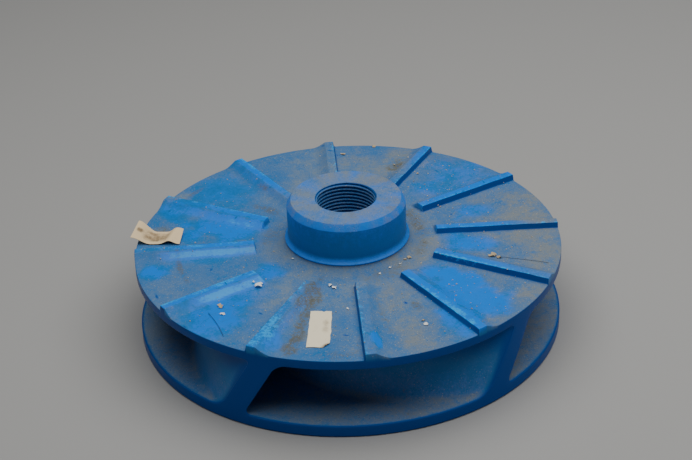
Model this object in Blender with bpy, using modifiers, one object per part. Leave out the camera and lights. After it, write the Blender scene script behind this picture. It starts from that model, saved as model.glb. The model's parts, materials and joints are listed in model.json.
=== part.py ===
"""A closed pump impeller with back vanes, lying on its front face.

Metres, +Z up. The origin is the centre of the front face, on the floor. +Z runs along the
shaft axis towards the threaded hub. Angles are anticlockwise from +X, seen from above.
"""

import math

import bmesh
import bpy
from mathutils import Matrix, Vector

# Overall sizes
RIM_RADIUS = 0.350
RIM_HEIGHT = 0.1387
FIT_GAP = 0.0003
SHROUD_STEPS = 72
HUB_STEPS = 36

# Front shroud, below, with the eye in its middle
FRONT_THICKNESS = 0.020
EYE_RADIUS = 0.147
EYE_MOUTH_CURVE = 0.016
EYE_EDGE = 0.003
RIM_CHAMFER = 0.0025
EYE_LAND_RADIUS = 0.175
RIM_LAND_RADIUS = 0.325
RELIEF_DEPTH = 0.002
RELIEF_SLOPE = 0.003

# Back shroud, above
BACK_THICKNESS = 0.0155
BACK_FLOW_HEIGHT = RIM_HEIGHT - BACK_THICKNESS
BACK_EDGE = 0.0015
BACK_RISE_RADIUS = 0.150
BACK_RISE = 0.0035
FOOT_RADIUS = 0.117
HUB_JOINT_FLOW = 0.1015
HUB_JOINT_SLOPE = math.radians(42)
FLARE_RADIUS = 0.185
FLARE_HANDLE_SHARE = 0.35
FOOT_RISE = 0.0010
FOOT_TOP_HANDLE = 0.0050
FOOT_END_HANDLE = Vector((-0.009, 0.0010))

# Hub, its base ring, the nose on the flow side and the threaded bore
HUB_RADIUS = 0.0972
HUB_TOP = 0.2235
HUB_CHAMFER_WIDTH = 0.007
HUB_CHAMFER_HEIGHT = 0.0105
RING_RADIUS = 0.1025
RING_TOP = 0.1562
RING_STEP = 0.0030
RING_EDGE = 0.0008
RING_FLARE_TOP = 0.1660
RING_FLARE_HANDLES = (0.0055, 0.0034)
NOSE_TIP = 0.038
NOSE_TIP_HANDLE = Vector((0.036, 0.0))
NOSE_WAIST = Vector((0.072, 0.066))
NOSE_WAIST_HANDLE = Vector((0.0080, 0.0161))
NOSE_FLANK_HANDLES = (0.012, 0.7)
BORE_BOTTOM = 0.1000
BORE_RELIEF_RADIUS = 0.0512
BORE_RELIEF_HEIGHT = 0.0400
THREAD_CREST_RADIUS = 0.0474
THREAD_ROOT_RADIUS = 0.0504
THREAD_PITCH = 0.00635
THREAD_MOUTH_WIDTH = 0.0046
THREAD_ROOT_WIDTH = 0.0016
BORE_MOUTH_RADIUS = 0.0508
BORE_MOUTH_DEPTH = 0.0034
THREAD_CUT_CLEARANCE = 0.0015
THREAD_START_TURN = 0.6

# Pump vanes between the shrouds
PUMP_VANE_COUNT = 5
PUMP_VANE_FIRST_ANGLE = math.radians(-117.3)
PUMP_VANE_ANGLE_HEIGHT = 0.070
PUMP_VANE_LEAN = math.radians(34) / RIM_RADIUS
PUMP_VANE_OUTLET_ANGLE = math.radians(24)
PUMP_VANE_THICKNESS = 0.0165
PUMP_VANE_NOSE_SHARE = 0.55
PUMP_VANE_FULL_RADIUS = 0.200
PUMP_VANE_SHEET_RADII = (0.118, 0.364)
PUMP_VANE_SHEET_HEIGHTS = (0.008, 0.132)
PUMP_VANE_STEPS = (26, 3)
INLET_EDGE_FRONT_RADIUS = EYE_RADIUS + EYE_MOUTH_CURVE
INLET_EDGE_BACK_RADIUS = 0.128
INLET_EDGE_BOW = 0.008

# Back vanes on top of the back shroud: steep on the clockwise side, sloped on the other.
# Four of them, counted from zero, stand a little off the even spacing.
BACK_VANE_COUNT = 12
BACK_VANE_FIRST_ANGLE = math.radians(2.8)
BACK_VANE_TURNS_IN_DEGREES = {4: -1.5, 5: -2.0, 6: -1.2, 7: -0.6}
BACK_VANE_HEIGHT = 0.0105
BACK_VANE_DRAFT = 0.0020
BACK_VANE_FLAT = 0.0145
BACK_VANE_SLOPE = 0.025
BACK_VANE_INNER_RADIUS = 0.150
BACK_VANE_DEPTH_BELOW = 0.010
BACK_VANE_SLOPE_STEPS = 5
BACK_VANE_OVERSHOOT = 0.010
BACK_SPACE_HEIGHT = 0.050

# Paper label and paper tag
LABEL_SIZE = (0.034, 0.0985, 0.0008)
LABEL_CENTRE = Vector((-0.048, -0.263))
LABEL_TURN = math.radians(-3.5)
TAG_SIZE = (0.070, 0.037)
TAG_THICKNESS = 0.0008
TAG_CENTRE = Vector((-0.3105, 0.034))
TAG_TURN = math.radians(-6)
TAG_CURL = 0.006
TAG_CURL_POWER = 4
TAG_STEPS = (10, 2)

PAPER_CLEARANCE = 0.0006
ARC_STEPS = 5
CURVE_STEPS = 6
SHORT_CURVE_STEPS = 4
SHARP_ANGLE = math.radians(30)
MERGE_DISTANCE = 0.00001
WELD_DISTANCE = 0.00003

PAINT_BLUE = (0.018, 0.115, 0.330, 1.0)
HUB_BLUE = (0.014, 0.085, 0.250, 1.0)
LABEL_PAPER = (0.780, 0.760, 0.680, 1.0)
TAG_PAPER = (0.640, 0.590, 0.450, 1.0)
PAINT_ROUGHNESS = 0.35
LABEL_ROUGHNESS = 0.85
TAG_ROUGHNESS = 0.90


# Scene, collections and materials

def empty_the_scene():
    for thing in list(bpy.data.objects):
        bpy.data.objects.remove(thing, do_unlink=True)


def new_collection(name):
    collection = bpy.data.collections.new(name)
    bpy.context.scene.collection.children.link(collection)
    return collection


def new_material(name, colour, roughness):
    material = bpy.data.materials.new(name)
    material.use_nodes = True
    shader = material.node_tree.nodes["Principled BSDF"]
    shader.inputs["Base Color"].default_value = colour
    shader.inputs["Roughness"].default_value = roughness
    shader.inputs["Metallic"].default_value = 0.0
    material.diffuse_color = colour
    return material


def mesh_object(name, mesh, collection, material=None):
    thing = bpy.data.objects.new(name, mesh)
    collection.objects.link(thing)
    if material is not None:
        mesh.materials.append(material)
    return thing


def hide_as_cutter(thing):
    thing.hide_render = True
    thing.display_type = "WIRE"


def shade_round(mesh):
    mesh.shade_smooth()
    mesh.set_sharp_from_angle(angle=SHARP_ANGLE)


# Outlines: lists of (radius, height) points

def arc(centre, radius, start, end, steps=ARC_STEPS):
    points = []
    for step in range(steps + 1):
        angle = start + (end - start) * step / steps
        points.append((centre[0] + radius * math.cos(angle), centre[1] + radius * math.sin(angle)))
    return points


def bezier(start, handle_1, handle_2, end, steps=CURVE_STEPS):
    points = []
    for step in range(steps + 1):
        share = step / steps
        rest = 1.0 - share
        weights = (rest ** 3, 3 * rest * rest * share, 3 * rest * share * share, share ** 3)
        ends = (start, handle_1, handle_2, end)
        points.append(tuple(sum(w * p[axis] for w, p in zip(weights, ends)) for axis in (0, 1)))
    return points


def back_face_height(radius):
    """Height of the back shroud's upper face, outside the hub's fillet."""
    share = (RIM_RADIUS - radius) / (RIM_RADIUS - BACK_RISE_RADIUS)
    return RIM_HEIGHT + BACK_RISE * share


def flow_flare():
    """Underside of the back shroud from the flat part inwards to the hub joint."""
    slope = Vector((math.cos(HUB_JOINT_SLOPE), math.sin(HUB_JOINT_SLOPE)))
    joint = Vector((RING_RADIUS, HUB_JOINT_FLOW))
    start = Vector((FLARE_RADIUS, BACK_FLOW_HEIGHT))
    reach = (FLARE_RADIUS - RING_RADIUS) * FLARE_HANDLE_SHARE
    return bezier(start, start - Vector((reach, 0)), joint + slope * reach, joint)


def nose_flank():
    """Nose of the hub, from the hub joint down to its tip on the axis."""
    slope = Vector((math.cos(HUB_JOINT_SLOPE), math.sin(HUB_JOINT_SLOPE)))
    joint = Vector((RING_RADIUS, HUB_JOINT_FLOW))
    tip = Vector((0.0, NOSE_TIP))
    joint_handle = joint - slope * NOSE_FLANK_HANDLES[0]
    waist_handle = NOSE_WAIST + NOSE_WAIST_HANDLE * NOSE_FLANK_HANDLES[1]
    flank = bezier(joint, joint_handle, waist_handle, NOSE_WAIST, SHORT_CURVE_STEPS)
    dome = bezier(NOSE_WAIST, NOSE_WAIST - NOSE_WAIST_HANDLE, tip + NOSE_TIP_HANDLE, tip)
    return flank + dome[1:]


def back_shroud_outline():
    """From the top of the fillet round the hub, out to the rim and back below."""
    joint_radius = RING_RADIUS + FIT_GAP
    foot_top = Vector((joint_radius, RING_TOP - RING_STEP))
    foot_end = Vector((FOOT_RADIUS, back_face_height(BACK_RISE_RADIUS) + FOOT_RISE))
    top_handle = foot_top - Vector((0, FOOT_TOP_HANDLE))
    foot = bezier(foot_top, top_handle, foot_end + FOOT_END_HANDLE, foot_end, SHORT_CURVE_STEPS)
    upper = [
        (BACK_RISE_RADIUS, back_face_height(BACK_RISE_RADIUS)),
        (RIM_RADIUS - BACK_EDGE, RIM_HEIGHT),
        (RIM_RADIUS, RIM_HEIGHT - BACK_EDGE),
        (RIM_RADIUS, BACK_FLOW_HEIGHT),
    ]
    flare = flow_flare()
    flare[-1] = (joint_radius, HUB_JOINT_FLOW)
    return foot + upper + flare


def front_shroud_outline():
    mouth_centre = (EYE_RADIUS + EYE_MOUTH_CURVE, FRONT_THICKNESS - EYE_MOUTH_CURVE)
    mouth = arc(mouth_centre, EYE_MOUTH_CURVE, math.pi, math.pi / 2)
    outside = [
        (RIM_RADIUS, FRONT_THICKNESS),
        (RIM_RADIUS, RIM_CHAMFER),
        (RIM_RADIUS - RIM_CHAMFER, 0.0),
        (RIM_LAND_RADIUS, 0.0),
        (RIM_LAND_RADIUS - RELIEF_SLOPE, RELIEF_DEPTH),
        (EYE_LAND_RADIUS + RELIEF_SLOPE, RELIEF_DEPTH),
        (EYE_LAND_RADIUS, 0.0),
        (EYE_RADIUS + EYE_EDGE, 0.0),
    ]
    return outside + mouth


def hub_outline():
    relief_top = BORE_BOTTOM + BORE_RELIEF_HEIGHT
    bore = [
        (0.0, BORE_BOTTOM),
        (BORE_RELIEF_RADIUS, BORE_BOTTOM),
        (BORE_RELIEF_RADIUS, relief_top),
        (THREAD_CREST_RADIUS, relief_top + (BORE_RELIEF_RADIUS - THREAD_CREST_RADIUS)),
        (THREAD_CREST_RADIUS, HUB_TOP - BORE_MOUTH_DEPTH),
        (BORE_MOUTH_RADIUS, HUB_TOP),
    ]
    boss = [
        (HUB_RADIUS - HUB_CHAMFER_WIDTH, HUB_TOP),
        (HUB_RADIUS, HUB_TOP - HUB_CHAMFER_HEIGHT),
    ]
    flare_top = Vector((HUB_RADIUS, RING_FLARE_TOP))
    flare_end = Vector((RING_RADIUS - RING_EDGE, RING_TOP))
    top_handle = flare_top - Vector((0, RING_FLARE_HANDLES[0]))
    end_handle = flare_end - Vector((RING_FLARE_HANDLES[1], 0))
    flare = bezier(flare_top, top_handle, end_handle, flare_end, SHORT_CURVE_STEPS)
    return bore + boss + flare + [(RING_RADIUS, RING_TOP - RING_EDGE)] + nose_flank()


def flow_space_outline():
    """The space that the pump vanes fill, between the shrouds and behind the inlet edge."""
    ceiling = [(r, z - FIT_GAP) for r, z in flow_flare() if r > INLET_EDGE_BACK_RADIUS]
    low = flow_flare()[len(ceiling)]
    high = flow_flare()[len(ceiling) - 1]
    share = (INLET_EDGE_BACK_RADIUS - low[0]) / (high[0] - low[0])
    edge_height = low[1] + (high[1] - low[1]) * share - FIT_GAP
    floor = FRONT_THICKNESS + FIT_GAP
    return [
        (INLET_EDGE_BACK_RADIUS, edge_height),
        *reversed(ceiling),
        (RIM_RADIUS, BACK_FLOW_HEIGHT - FIT_GAP),
        (RIM_RADIUS, floor),
        (INLET_EDGE_FRONT_RADIUS, floor),
        (INLET_EDGE_FRONT_RADIUS - INLET_EDGE_BOW, (floor + edge_height) / 2),
    ]


def back_vane_space_outline():
    """The space above the back shroud, out to the rim."""
    inner = BACK_RISE_RADIUS - BACK_VANE_OVERSHOOT
    top = RIM_HEIGHT + BACK_SPACE_HEIGHT
    return [
        (inner, top),
        (RIM_RADIUS, top),
        (RIM_RADIUS, RIM_HEIGHT + FIT_GAP),
        (BACK_RISE_RADIUS, back_face_height(BACK_RISE_RADIUS) + FIT_GAP),
        (inner, back_face_height(inner) + FIT_GAP),
    ]


# Turned pieces

def turned_object(name, outline, closed, steps, collection, material=None):
    """Turn an outline round the Z axis with a Screw modifier."""
    mesh = bpy.data.meshes.new(name)
    edges = [(index, index + 1) for index in range(len(outline) - 1)]
    if closed:
        edges.append((len(outline) - 1, 0))
    mesh.from_pydata([(radius, 0.0, height) for radius, height in outline], edges, [])
    thing = mesh_object(name, mesh, collection, material)
    screw = thing.modifiers.new("turn", "SCREW")
    screw.steps = steps
    screw.render_steps = steps
    screw.use_merge_vertices = True
    screw.merge_threshold = MERGE_DISTANCE
    screw.use_smooth_shade = True
    return thing


def thread_cutter(collection):
    """A trapezoid swept up the bore as a right-hand helix, capped at both ends."""
    inside = THREAD_CREST_RADIUS - THREAD_CUT_CLEARANCE
    slope = (THREAD_MOUTH_WIDTH - THREAD_ROOT_WIDTH) / (THREAD_ROOT_RADIUS - THREAD_CREST_RADIUS)
    inner_width = THREAD_MOUTH_WIDTH + slope * (THREAD_CREST_RADIUS - inside)
    outline = [
        (inside, inner_width / 2),
        (THREAD_ROOT_RADIUS, THREAD_ROOT_WIDTH / 2),
        (THREAD_ROOT_RADIUS, -THREAD_ROOT_WIDTH / 2),
        (inside, -inner_width / 2),
    ]
    start = BORE_BOTTOM + BORE_RELIEF_HEIGHT - THREAD_PITCH * THREAD_START_TURN
    turns = math.ceil((HUB_TOP + THREAD_PITCH - start) / THREAD_PITCH)
    sweep = turned_object("thread_sweep", outline, True, HUB_STEPS, collection)
    screw = sweep.modifiers["turn"]
    screw.screw_offset = THREAD_PITCH
    screw.iterations = turns
    screw.use_merge_vertices = False
    bpy.context.view_layer.update()
    evaluated = sweep.evaluated_get(bpy.context.evaluated_depsgraph_get())
    mesh = bpy.data.meshes.new_from_object(evaluated)
    bpy.data.objects.remove(sweep)
    shape = bmesh.new()
    shape.from_mesh(mesh)
    open_edges = [edge for edge in shape.edges if edge.is_boundary]
    bmesh.ops.holes_fill(shape, edges=open_edges)
    bmesh.ops.recalc_face_normals(shape, faces=shape.faces)
    bmesh.ops.translate(shape, verts=shape.verts, vec=(0, 0, start))
    shape.to_mesh(mesh)
    shape.free()
    cutter = mesh_object("thread_cutter", mesh, collection)
    hide_as_cutter(cutter)
    return cutter


def add_boolean(thing, cutter, operation):
    boolean = thing.modifiers.new(operation.lower(), "BOOLEAN")
    boolean.operation = operation
    boolean.solver = "EXACT"
    boolean.object = cutter
    return boolean


def add_weld(thing):
    """Merge the doubled corners that a cut along the facets leaves."""
    weld = thing.modifiers.new("weld", "WELD")
    weld.merge_threshold = WELD_DISTANCE


# Pump vanes

def pump_vane_angle(radius, height):
    """Angle of the vane's middle surface, for the first vane."""
    lean = PUMP_VANE_LEAN * (height - PUMP_VANE_ANGLE_HEIGHT)
    sweep = math.log(RIM_RADIUS / radius) / math.tan(PUMP_VANE_OUTLET_ANGLE)
    return PUMP_VANE_FIRST_ANGLE + lean - sweep


def pump_vane_mesh():
    """A grid bent into the vane's middle surface; its thickness comes from Solidify."""
    inner, outer = PUMP_VANE_SHEET_RADII
    low, high = PUMP_VANE_SHEET_HEIGHTS
    sheet = bmesh.new()
    bmesh.ops.create_grid(sheet, x_segments=PUMP_VANE_STEPS[0], y_segments=PUMP_VANE_STEPS[1], size=1.0)
    for vertex in sheet.verts:
        along = (vertex.co.x + 1.0) / 2
        up = (vertex.co.y + 1.0) / 2
        radius = inner * (outer / inner) ** along
        height = low + (high - low) * up
        angle = pump_vane_angle(radius, height)
        vertex.co = Vector((radius * math.cos(angle), radius * math.sin(angle), height))
    mesh = bpy.data.meshes.new("pump_vane_sheet")
    sheet.to_mesh(mesh)
    sheet.free()
    return mesh


def vane_thickness_share(radius):
    """Full thickness outside, thinner towards the inlet edge."""
    start = INLET_EDGE_BACK_RADIUS
    share = (radius - start) / (PUMP_VANE_FULL_RADIUS - start)
    share = min(max(share, 0.0), 1.0)
    return PUMP_VANE_NOSE_SHARE + (1.0 - PUMP_VANE_NOSE_SHARE) * share


def add_pump_vanes(flow_space, collection, material):
    for number in range(PUMP_VANE_COUNT):
        mesh = pump_vane_mesh()
        vane = mesh_object(f"pump_vane_{number + 1}", mesh, collection, material)
        vane.rotation_euler.z = math.tau * number / PUMP_VANE_COUNT
        group = vane.vertex_groups.new(name="thickness")
        for vertex in mesh.vertices:
            group.add([vertex.index], vane_thickness_share(vertex.co.to_2d().length), "REPLACE")
        solid = vane.modifiers.new("thickness", "SOLIDIFY")
        solid.thickness = PUMP_VANE_THICKNESS
        solid.offset = 0.0
        solid.use_even_offset = True
        solid.vertex_group = group.name
        add_boolean(vane, flow_space, "INTERSECT")
        shade_round(mesh)


# Back vanes

def back_vane_section():
    """Section across a vane: (distance anticlockwise, height above the shroud)."""
    below = -BACK_VANE_DEPTH_BELOW
    draft_slope = BACK_VANE_DRAFT / BACK_VANE_HEIGHT
    slope_start = BACK_VANE_DRAFT + BACK_VANE_FLAT
    points = [
        (draft_slope * below, below),
        (BACK_VANE_DRAFT, BACK_VANE_HEIGHT),
        (slope_start, BACK_VANE_HEIGHT),
    ]
    for step in range(1, BACK_VANE_SLOPE_STEPS + 1):
        share = step / BACK_VANE_SLOPE_STEPS
        drop = math.sin(share * math.pi / 2)
        points.append((slope_start + BACK_VANE_SLOPE * share, BACK_VANE_HEIGHT * (1.0 - drop)))
    points.append((slope_start + BACK_VANE_SLOPE, below))
    return points


def back_vane_mesh():
    """The section as a filled outline, drawn out along the radius, with its caps welded."""
    length = RIM_RADIUS + BACK_VANE_OVERSHOOT - BACK_VANE_INNER_RADIUS
    curve = bpy.data.curves.new("back_vane_section", "CURVE")
    curve.dimensions = "2D"
    curve.fill_mode = "BOTH"
    curve.extrude = length / 2
    points = back_vane_section()
    spline = curve.splines.new("POLY")
    spline.points.add(len(points) - 1)
    for point, place in zip(spline.points, points):
        point.co = (place[0], place[1], 0.0, 1.0)
    spline.use_cyclic_u = True
    outline = bpy.data.objects.new("back_vane_section", curve)
    bpy.context.scene.collection.objects.link(outline)
    bpy.context.view_layer.update()
    evaluated = outline.evaluated_get(bpy.context.evaluated_depsgraph_get())
    mesh = bpy.data.meshes.new_from_object(evaluated)
    bpy.data.objects.remove(outline)
    shape = bmesh.new()
    shape.from_mesh(mesh)
    bmesh.ops.remove_doubles(shape, verts=shape.verts, dist=MERGE_DISTANCE)
    bmesh.ops.recalc_face_normals(shape, faces=shape.faces)
    shape.to_mesh(mesh)
    shape.free()
    return mesh


def back_vane_matrix(angle):
    """Local X to the tangent, local Y up and local Z outwards, tilted with the shroud."""
    fall = math.atan2(BACK_RISE, RIM_RADIUS - BACK_RISE_RADIUS)
    tangent = Vector((-math.sin(angle), math.cos(angle), 0.0))
    level = Vector((math.cos(angle), math.sin(angle), 0.0))
    outwards = level * math.cos(fall) - Vector((0, 0, math.sin(fall)))
    upwards = outwards.cross(tangent)
    turn = Matrix((tangent, upwards, outwards)).transposed()
    middle = (RIM_RADIUS + BACK_VANE_OVERSHOOT + BACK_VANE_INNER_RADIUS) / 2
    place = level * middle + Vector((0, 0, back_face_height(middle)))
    return Matrix.Translation(place) @ turn.to_4x4()


def add_back_vanes(space, collection, material):
    for number in range(BACK_VANE_COUNT):
        mesh = back_vane_mesh()
        vane = mesh_object(f"back_vane_{number + 1:02d}", mesh, collection, material)
        even_angle = BACK_VANE_FIRST_ANGLE + math.tau * number / BACK_VANE_COUNT
        angle = even_angle + math.radians(BACK_VANE_TURNS_IN_DEGREES.get(number, 0.0))
        vane.matrix_world = back_vane_matrix(angle)
        add_boolean(vane, space, "INTERSECT")


# Paper label and tag

def add_label(collection, material):
    fall = math.atan2(BACK_RISE, RIM_RADIUS - BACK_RISE_RADIUS)
    height = back_face_height(LABEL_CENTRE.length) + PAPER_CLEARANCE + LABEL_SIZE[2] / 2
    bpy.ops.mesh.primitive_cube_add(size=1.0)
    label = bpy.context.object
    label.name = "paper_label"
    label.data.name = "paper_label"
    for owner in list(label.users_collection):
        owner.objects.unlink(label)
    collection.objects.link(label)
    label.data.transform(Matrix.Diagonal((*LABEL_SIZE, 1.0)))
    label.location = (LABEL_CENTRE.x, LABEL_CENTRE.y, height)
    label.rotation_euler = (fall, 0.0, LABEL_TURN)
    label.data.materials.append(material)


def add_tag(collection, material):
    """A strip that lies on the shroud and curls up at both ends."""
    sheet = bmesh.new()
    bmesh.ops.create_grid(sheet, x_segments=TAG_STEPS[0], y_segments=TAG_STEPS[1], size=0.5)
    turn = Matrix.Rotation(TAG_TURN, 2)
    for vertex in sheet.verts:
        curl = TAG_CURL * (2.0 * vertex.co.x) ** TAG_CURL_POWER
        flat = TAG_CENTRE + turn @ Vector((vertex.co.x * TAG_SIZE[0], vertex.co.y * TAG_SIZE[1]))
        vertex.co = Vector((flat.x, flat.y, back_face_height(flat.length) + PAPER_CLEARANCE + curl))
    mesh = bpy.data.meshes.new("paper_tag")
    sheet.to_mesh(mesh)
    sheet.free()
    tag = mesh_object("paper_tag", mesh, collection, material)
    solid = tag.modifiers.new("thickness", "SOLIDIFY")
    solid.thickness = TAG_THICKNESS
    solid.offset = 1.0


def main():
    empty_the_scene()
    impeller = new_collection("pump_impeller")
    cutters = new_collection("cutters")
    paint = new_material("blue_paint", PAINT_BLUE, PAINT_ROUGHNESS)
    hub_paint = new_material("hub_blue_paint", HUB_BLUE, PAINT_ROUGHNESS)
    label_paper = new_material("label_paper", LABEL_PAPER, LABEL_ROUGHNESS)
    tag_paper = new_material("tag_paper", TAG_PAPER, TAG_ROUGHNESS)

    turned_object("back_shroud", back_shroud_outline(), True, SHROUD_STEPS, impeller, paint)
    turned_object("front_shroud", front_shroud_outline(), True, SHROUD_STEPS, impeller, paint)
    hub = turned_object("threaded_hub", hub_outline(), False, HUB_STEPS, impeller, hub_paint)
    add_boolean(hub, thread_cutter(cutters), "DIFFERENCE")
    add_weld(hub)

    flow_space = turned_object("flow_space", flow_space_outline(), True, SHROUD_STEPS, cutters)
    hide_as_cutter(flow_space)
    add_pump_vanes(flow_space, impeller, paint)

    back_space = turned_object("back_vane_space", back_vane_space_outline(), True, SHROUD_STEPS, cutters)
    hide_as_cutter(back_space)
    add_back_vanes(back_space, impeller, paint)

    add_label(impeller, label_paper)
    add_tag(impeller, tag_paper)


main()
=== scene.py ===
# %% [markdown]
# Dressing a cast pump impeller
#
# This lesson gives a large pump impeller its looks. Its shape was measured first, and each of its
# features is a solid in a model that is loaded here as a fixed frame. The real impeller is one
# casting, so one detailed skin replaces most of those solids: its corners are filleted, its faces
# are a little uneven, and old blue paint and dust cover it.

# %% Load the measured solids
import json
import math

import bmesh
import bpy
import numpy as np
from mathutils import Matrix, Vector, noise
from mathutils.geometry import delaunay_2d_cdt

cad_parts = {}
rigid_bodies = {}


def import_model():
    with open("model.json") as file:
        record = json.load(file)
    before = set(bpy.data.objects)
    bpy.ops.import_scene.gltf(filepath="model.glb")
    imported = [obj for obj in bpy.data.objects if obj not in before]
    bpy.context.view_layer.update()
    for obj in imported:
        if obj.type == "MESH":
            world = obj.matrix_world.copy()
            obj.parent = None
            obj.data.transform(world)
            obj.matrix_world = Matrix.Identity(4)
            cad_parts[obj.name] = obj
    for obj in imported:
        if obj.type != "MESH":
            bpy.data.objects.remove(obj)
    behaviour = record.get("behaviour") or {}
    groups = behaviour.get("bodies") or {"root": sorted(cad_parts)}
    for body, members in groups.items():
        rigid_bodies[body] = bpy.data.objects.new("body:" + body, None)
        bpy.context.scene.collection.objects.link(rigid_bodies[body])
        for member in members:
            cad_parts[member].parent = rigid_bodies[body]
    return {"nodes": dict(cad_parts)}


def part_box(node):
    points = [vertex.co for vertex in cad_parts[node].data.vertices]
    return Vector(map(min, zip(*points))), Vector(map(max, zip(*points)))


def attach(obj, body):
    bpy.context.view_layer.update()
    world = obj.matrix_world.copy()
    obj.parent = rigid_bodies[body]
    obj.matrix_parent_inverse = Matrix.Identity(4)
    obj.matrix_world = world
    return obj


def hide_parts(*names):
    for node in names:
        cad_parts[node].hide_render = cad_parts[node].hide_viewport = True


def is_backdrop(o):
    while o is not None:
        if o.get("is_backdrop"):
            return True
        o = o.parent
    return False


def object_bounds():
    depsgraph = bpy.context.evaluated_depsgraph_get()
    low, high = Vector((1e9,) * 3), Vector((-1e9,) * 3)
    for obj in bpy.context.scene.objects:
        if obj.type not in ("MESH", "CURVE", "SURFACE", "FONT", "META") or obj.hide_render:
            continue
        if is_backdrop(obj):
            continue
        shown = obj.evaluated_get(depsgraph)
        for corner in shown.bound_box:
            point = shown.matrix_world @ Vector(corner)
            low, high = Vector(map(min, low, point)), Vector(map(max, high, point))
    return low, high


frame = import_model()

for thing in list(bpy.data.objects):
    if thing.name in ("Cube", "Camera", "Light"):
        bpy.data.objects.remove(thing, do_unlink=True)

cad_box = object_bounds()
box_sides = [round(side, 4) for side in cad_box[1] - cad_box[0]]
print("measured solids:", len(frame["nodes"]), "in a box of", box_sides)

# %% [markdown]
# Sizes
#
# Everything is worked out from the frame's own boxes and a few sizes of the casting. Lengths are
# in metres, and angles are anticlockwise from +X, seen from above. The hub points up, and the
# side that is seen first faces -Y. The measured solids stand a narrow gap apart, which the skin
# closes.

# %% Read the driving sizes
SOLID_GAP = 0.0003
RIM_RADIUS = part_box("back_shroud")[1].x
FLOW_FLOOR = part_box("front_shroud")[1].z
FLOW_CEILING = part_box("pump_vane_1")[1].z + SOLID_GAP
HUB_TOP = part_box("threaded_hub")[1].z
NOSE_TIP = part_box("threaded_hub")[0].z
RING_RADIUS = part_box("threaded_hub")[1].x
RIM_HEIGHT = 0.1387
BACK_RISE = 0.0035
BACK_RISE_RADIUS = 0.150
HUB_RADIUS = 0.0972
RING_TOP = 0.1562
RING_STEP = 0.0030
FLARE_TOP = 0.1660
FOOT_RADIUS = 0.117


def back_face_height(radius):
    """Height of the back shroud's upper face, which rises a little towards the hub."""
    return RIM_HEIGHT + BACK_RISE * (RIM_RADIUS - radius) / (RIM_RADIUS - BACK_RISE_RADIUS)


print("rim radius", round(RIM_RADIUS, 4), "back face at the hub", round(back_face_height(FOOT_RADIUS), 4))
print("channels from", round(FLOW_FLOOR, 4), "to", round(FLOW_CEILING, 4))

# %% [markdown]
# The camera
#
# The camera stands where the photographer stood: in front, looking down at about thirty degrees,
# with a long lens and a slight tilt of the horizon. It comes first, so that each later piece can
# be judged in the same view.

# %% Place the camera
CAMERA_PLACE = Vector((-0.0018, -2.4444, 1.5588))
CAMERA_PITCH = math.radians(29.754)
CAMERA_ROLL = math.radians(-2.408)
CAMERA_LENS = 89.16
SENSOR_WIDTH = 36.0


def put_in_scene(name, data):
    """An object made of a mesh, a camera or a lamp, linked into the scene."""
    thing = bpy.data.objects.new(name, data)
    bpy.context.scene.collection.objects.link(thing)
    return thing


camera_data = bpy.data.cameras.new("camera")
camera_data.lens = CAMERA_LENS
camera_data.sensor_width = SENSOR_WIDTH
camera_data.dof.use_dof = False
camera = put_in_scene("camera", camera_data)
look_down = Matrix.Rotation(math.pi / 2 - CAMERA_PITCH, 4, "X")
camera.matrix_world = Matrix.Translation(CAMERA_PLACE) @ look_down @ Matrix.Rotation(CAMERA_ROLL, 4, "Z")
bpy.context.scene.camera = camera
print("camera stands", round(CAMERA_PLACE.length, 2), "m away")

# %% [markdown]
# Lines with rounded corners
#
# A casting has no sharp inside corners, because molten iron and moulding sand both round them.
# Each profile below is a plain line of corner points whose corners are then replaced by arcs.
# One helper does this for the section of the back vanes and for all turned profiles.

# %% Helpers for lines
NEARLY_STRAIGHT = 0.01


def rounded(corners, radii, steps=5):
    """An open 2D line with each inner corner replaced by an arc of its own radius."""
    corners = [np.array(corner, float) for corner in corners]
    line = [corners[0]]
    for index in range(1, len(corners) - 1):
        corner = corners[index]
        back = corners[index - 1] - corner
        ahead = corners[index + 1] - corner
        back /= np.linalg.norm(back)
        ahead /= np.linalg.norm(ahead)
        radius = radii[index]
        half_angle = math.acos(np.clip(back @ ahead, -1, 1)) / 2
        if radius == 0 or half_angle > math.pi / 2 - NEARLY_STRAIGHT:
            line.append(corner)
            continue
        reach = radius / math.tan(half_angle)
        middle = corner + (back + ahead) / np.linalg.norm(back + ahead) * radius / math.sin(half_angle)
        start = corner + back * reach - middle
        end = corner + ahead * reach - middle
        turn = math.pi - 2 * half_angle
        for step in range(steps + 1):
            share = step / steps
            blend = (math.sin((1 - share) * turn) * start + math.sin(share * turn) * end) / math.sin(turn)
            line.append(middle + blend)
    line.append(corners[-1])
    return np.array(line)


def bezier(start, handle_1, handle_2, end, steps):
    """Points along one cubic curve."""
    share = np.linspace(0, 1, steps + 1)[:, None]
    start, handle_1, handle_2, end = (np.array(point, float) for point in (start, handle_1, handle_2, end))
    near = (1 - share) ** 3 * start + 3 * (1 - share) ** 2 * share * handle_1
    return near + 3 * (1 - share) * share ** 2 * handle_2 + share ** 3 * end


SEED_SHIFT = (7.3, 3.1, 5.7)


def soft_step(low, high, value):
    """0 below low, 1 above high and a smooth S between them."""
    share = np.clip((value - low) / (high - low), 0, 1)
    return share * share * (3 - 2 * share)


def noise_at(points, size, seed):
    """Smooth noise from -1 to 1 at each point, with lumps of the given size in metres."""
    shift = Vector([seed * part for part in SEED_SHIFT])
    return np.array([noise.noise(Vector(point) / size + shift) for point in points])


print("a rounded right angle has", len(rounded([(0, 0), (1, 0), (1, 1)], [0, 0.1, 0])), "points")

# %% [markdown]
# One skin from several patches
#
# The skin of the casting is made of patches: the back face with its radial vanes, the rim with
# five windows cut in it, a lining for each channel, the nose and the front face. Each patch but
# the rim is a grid of points that a formula places, and neighbours compute the same points along
# their common border. Merging those points then closes the skin, with no Boolean operation.

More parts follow.
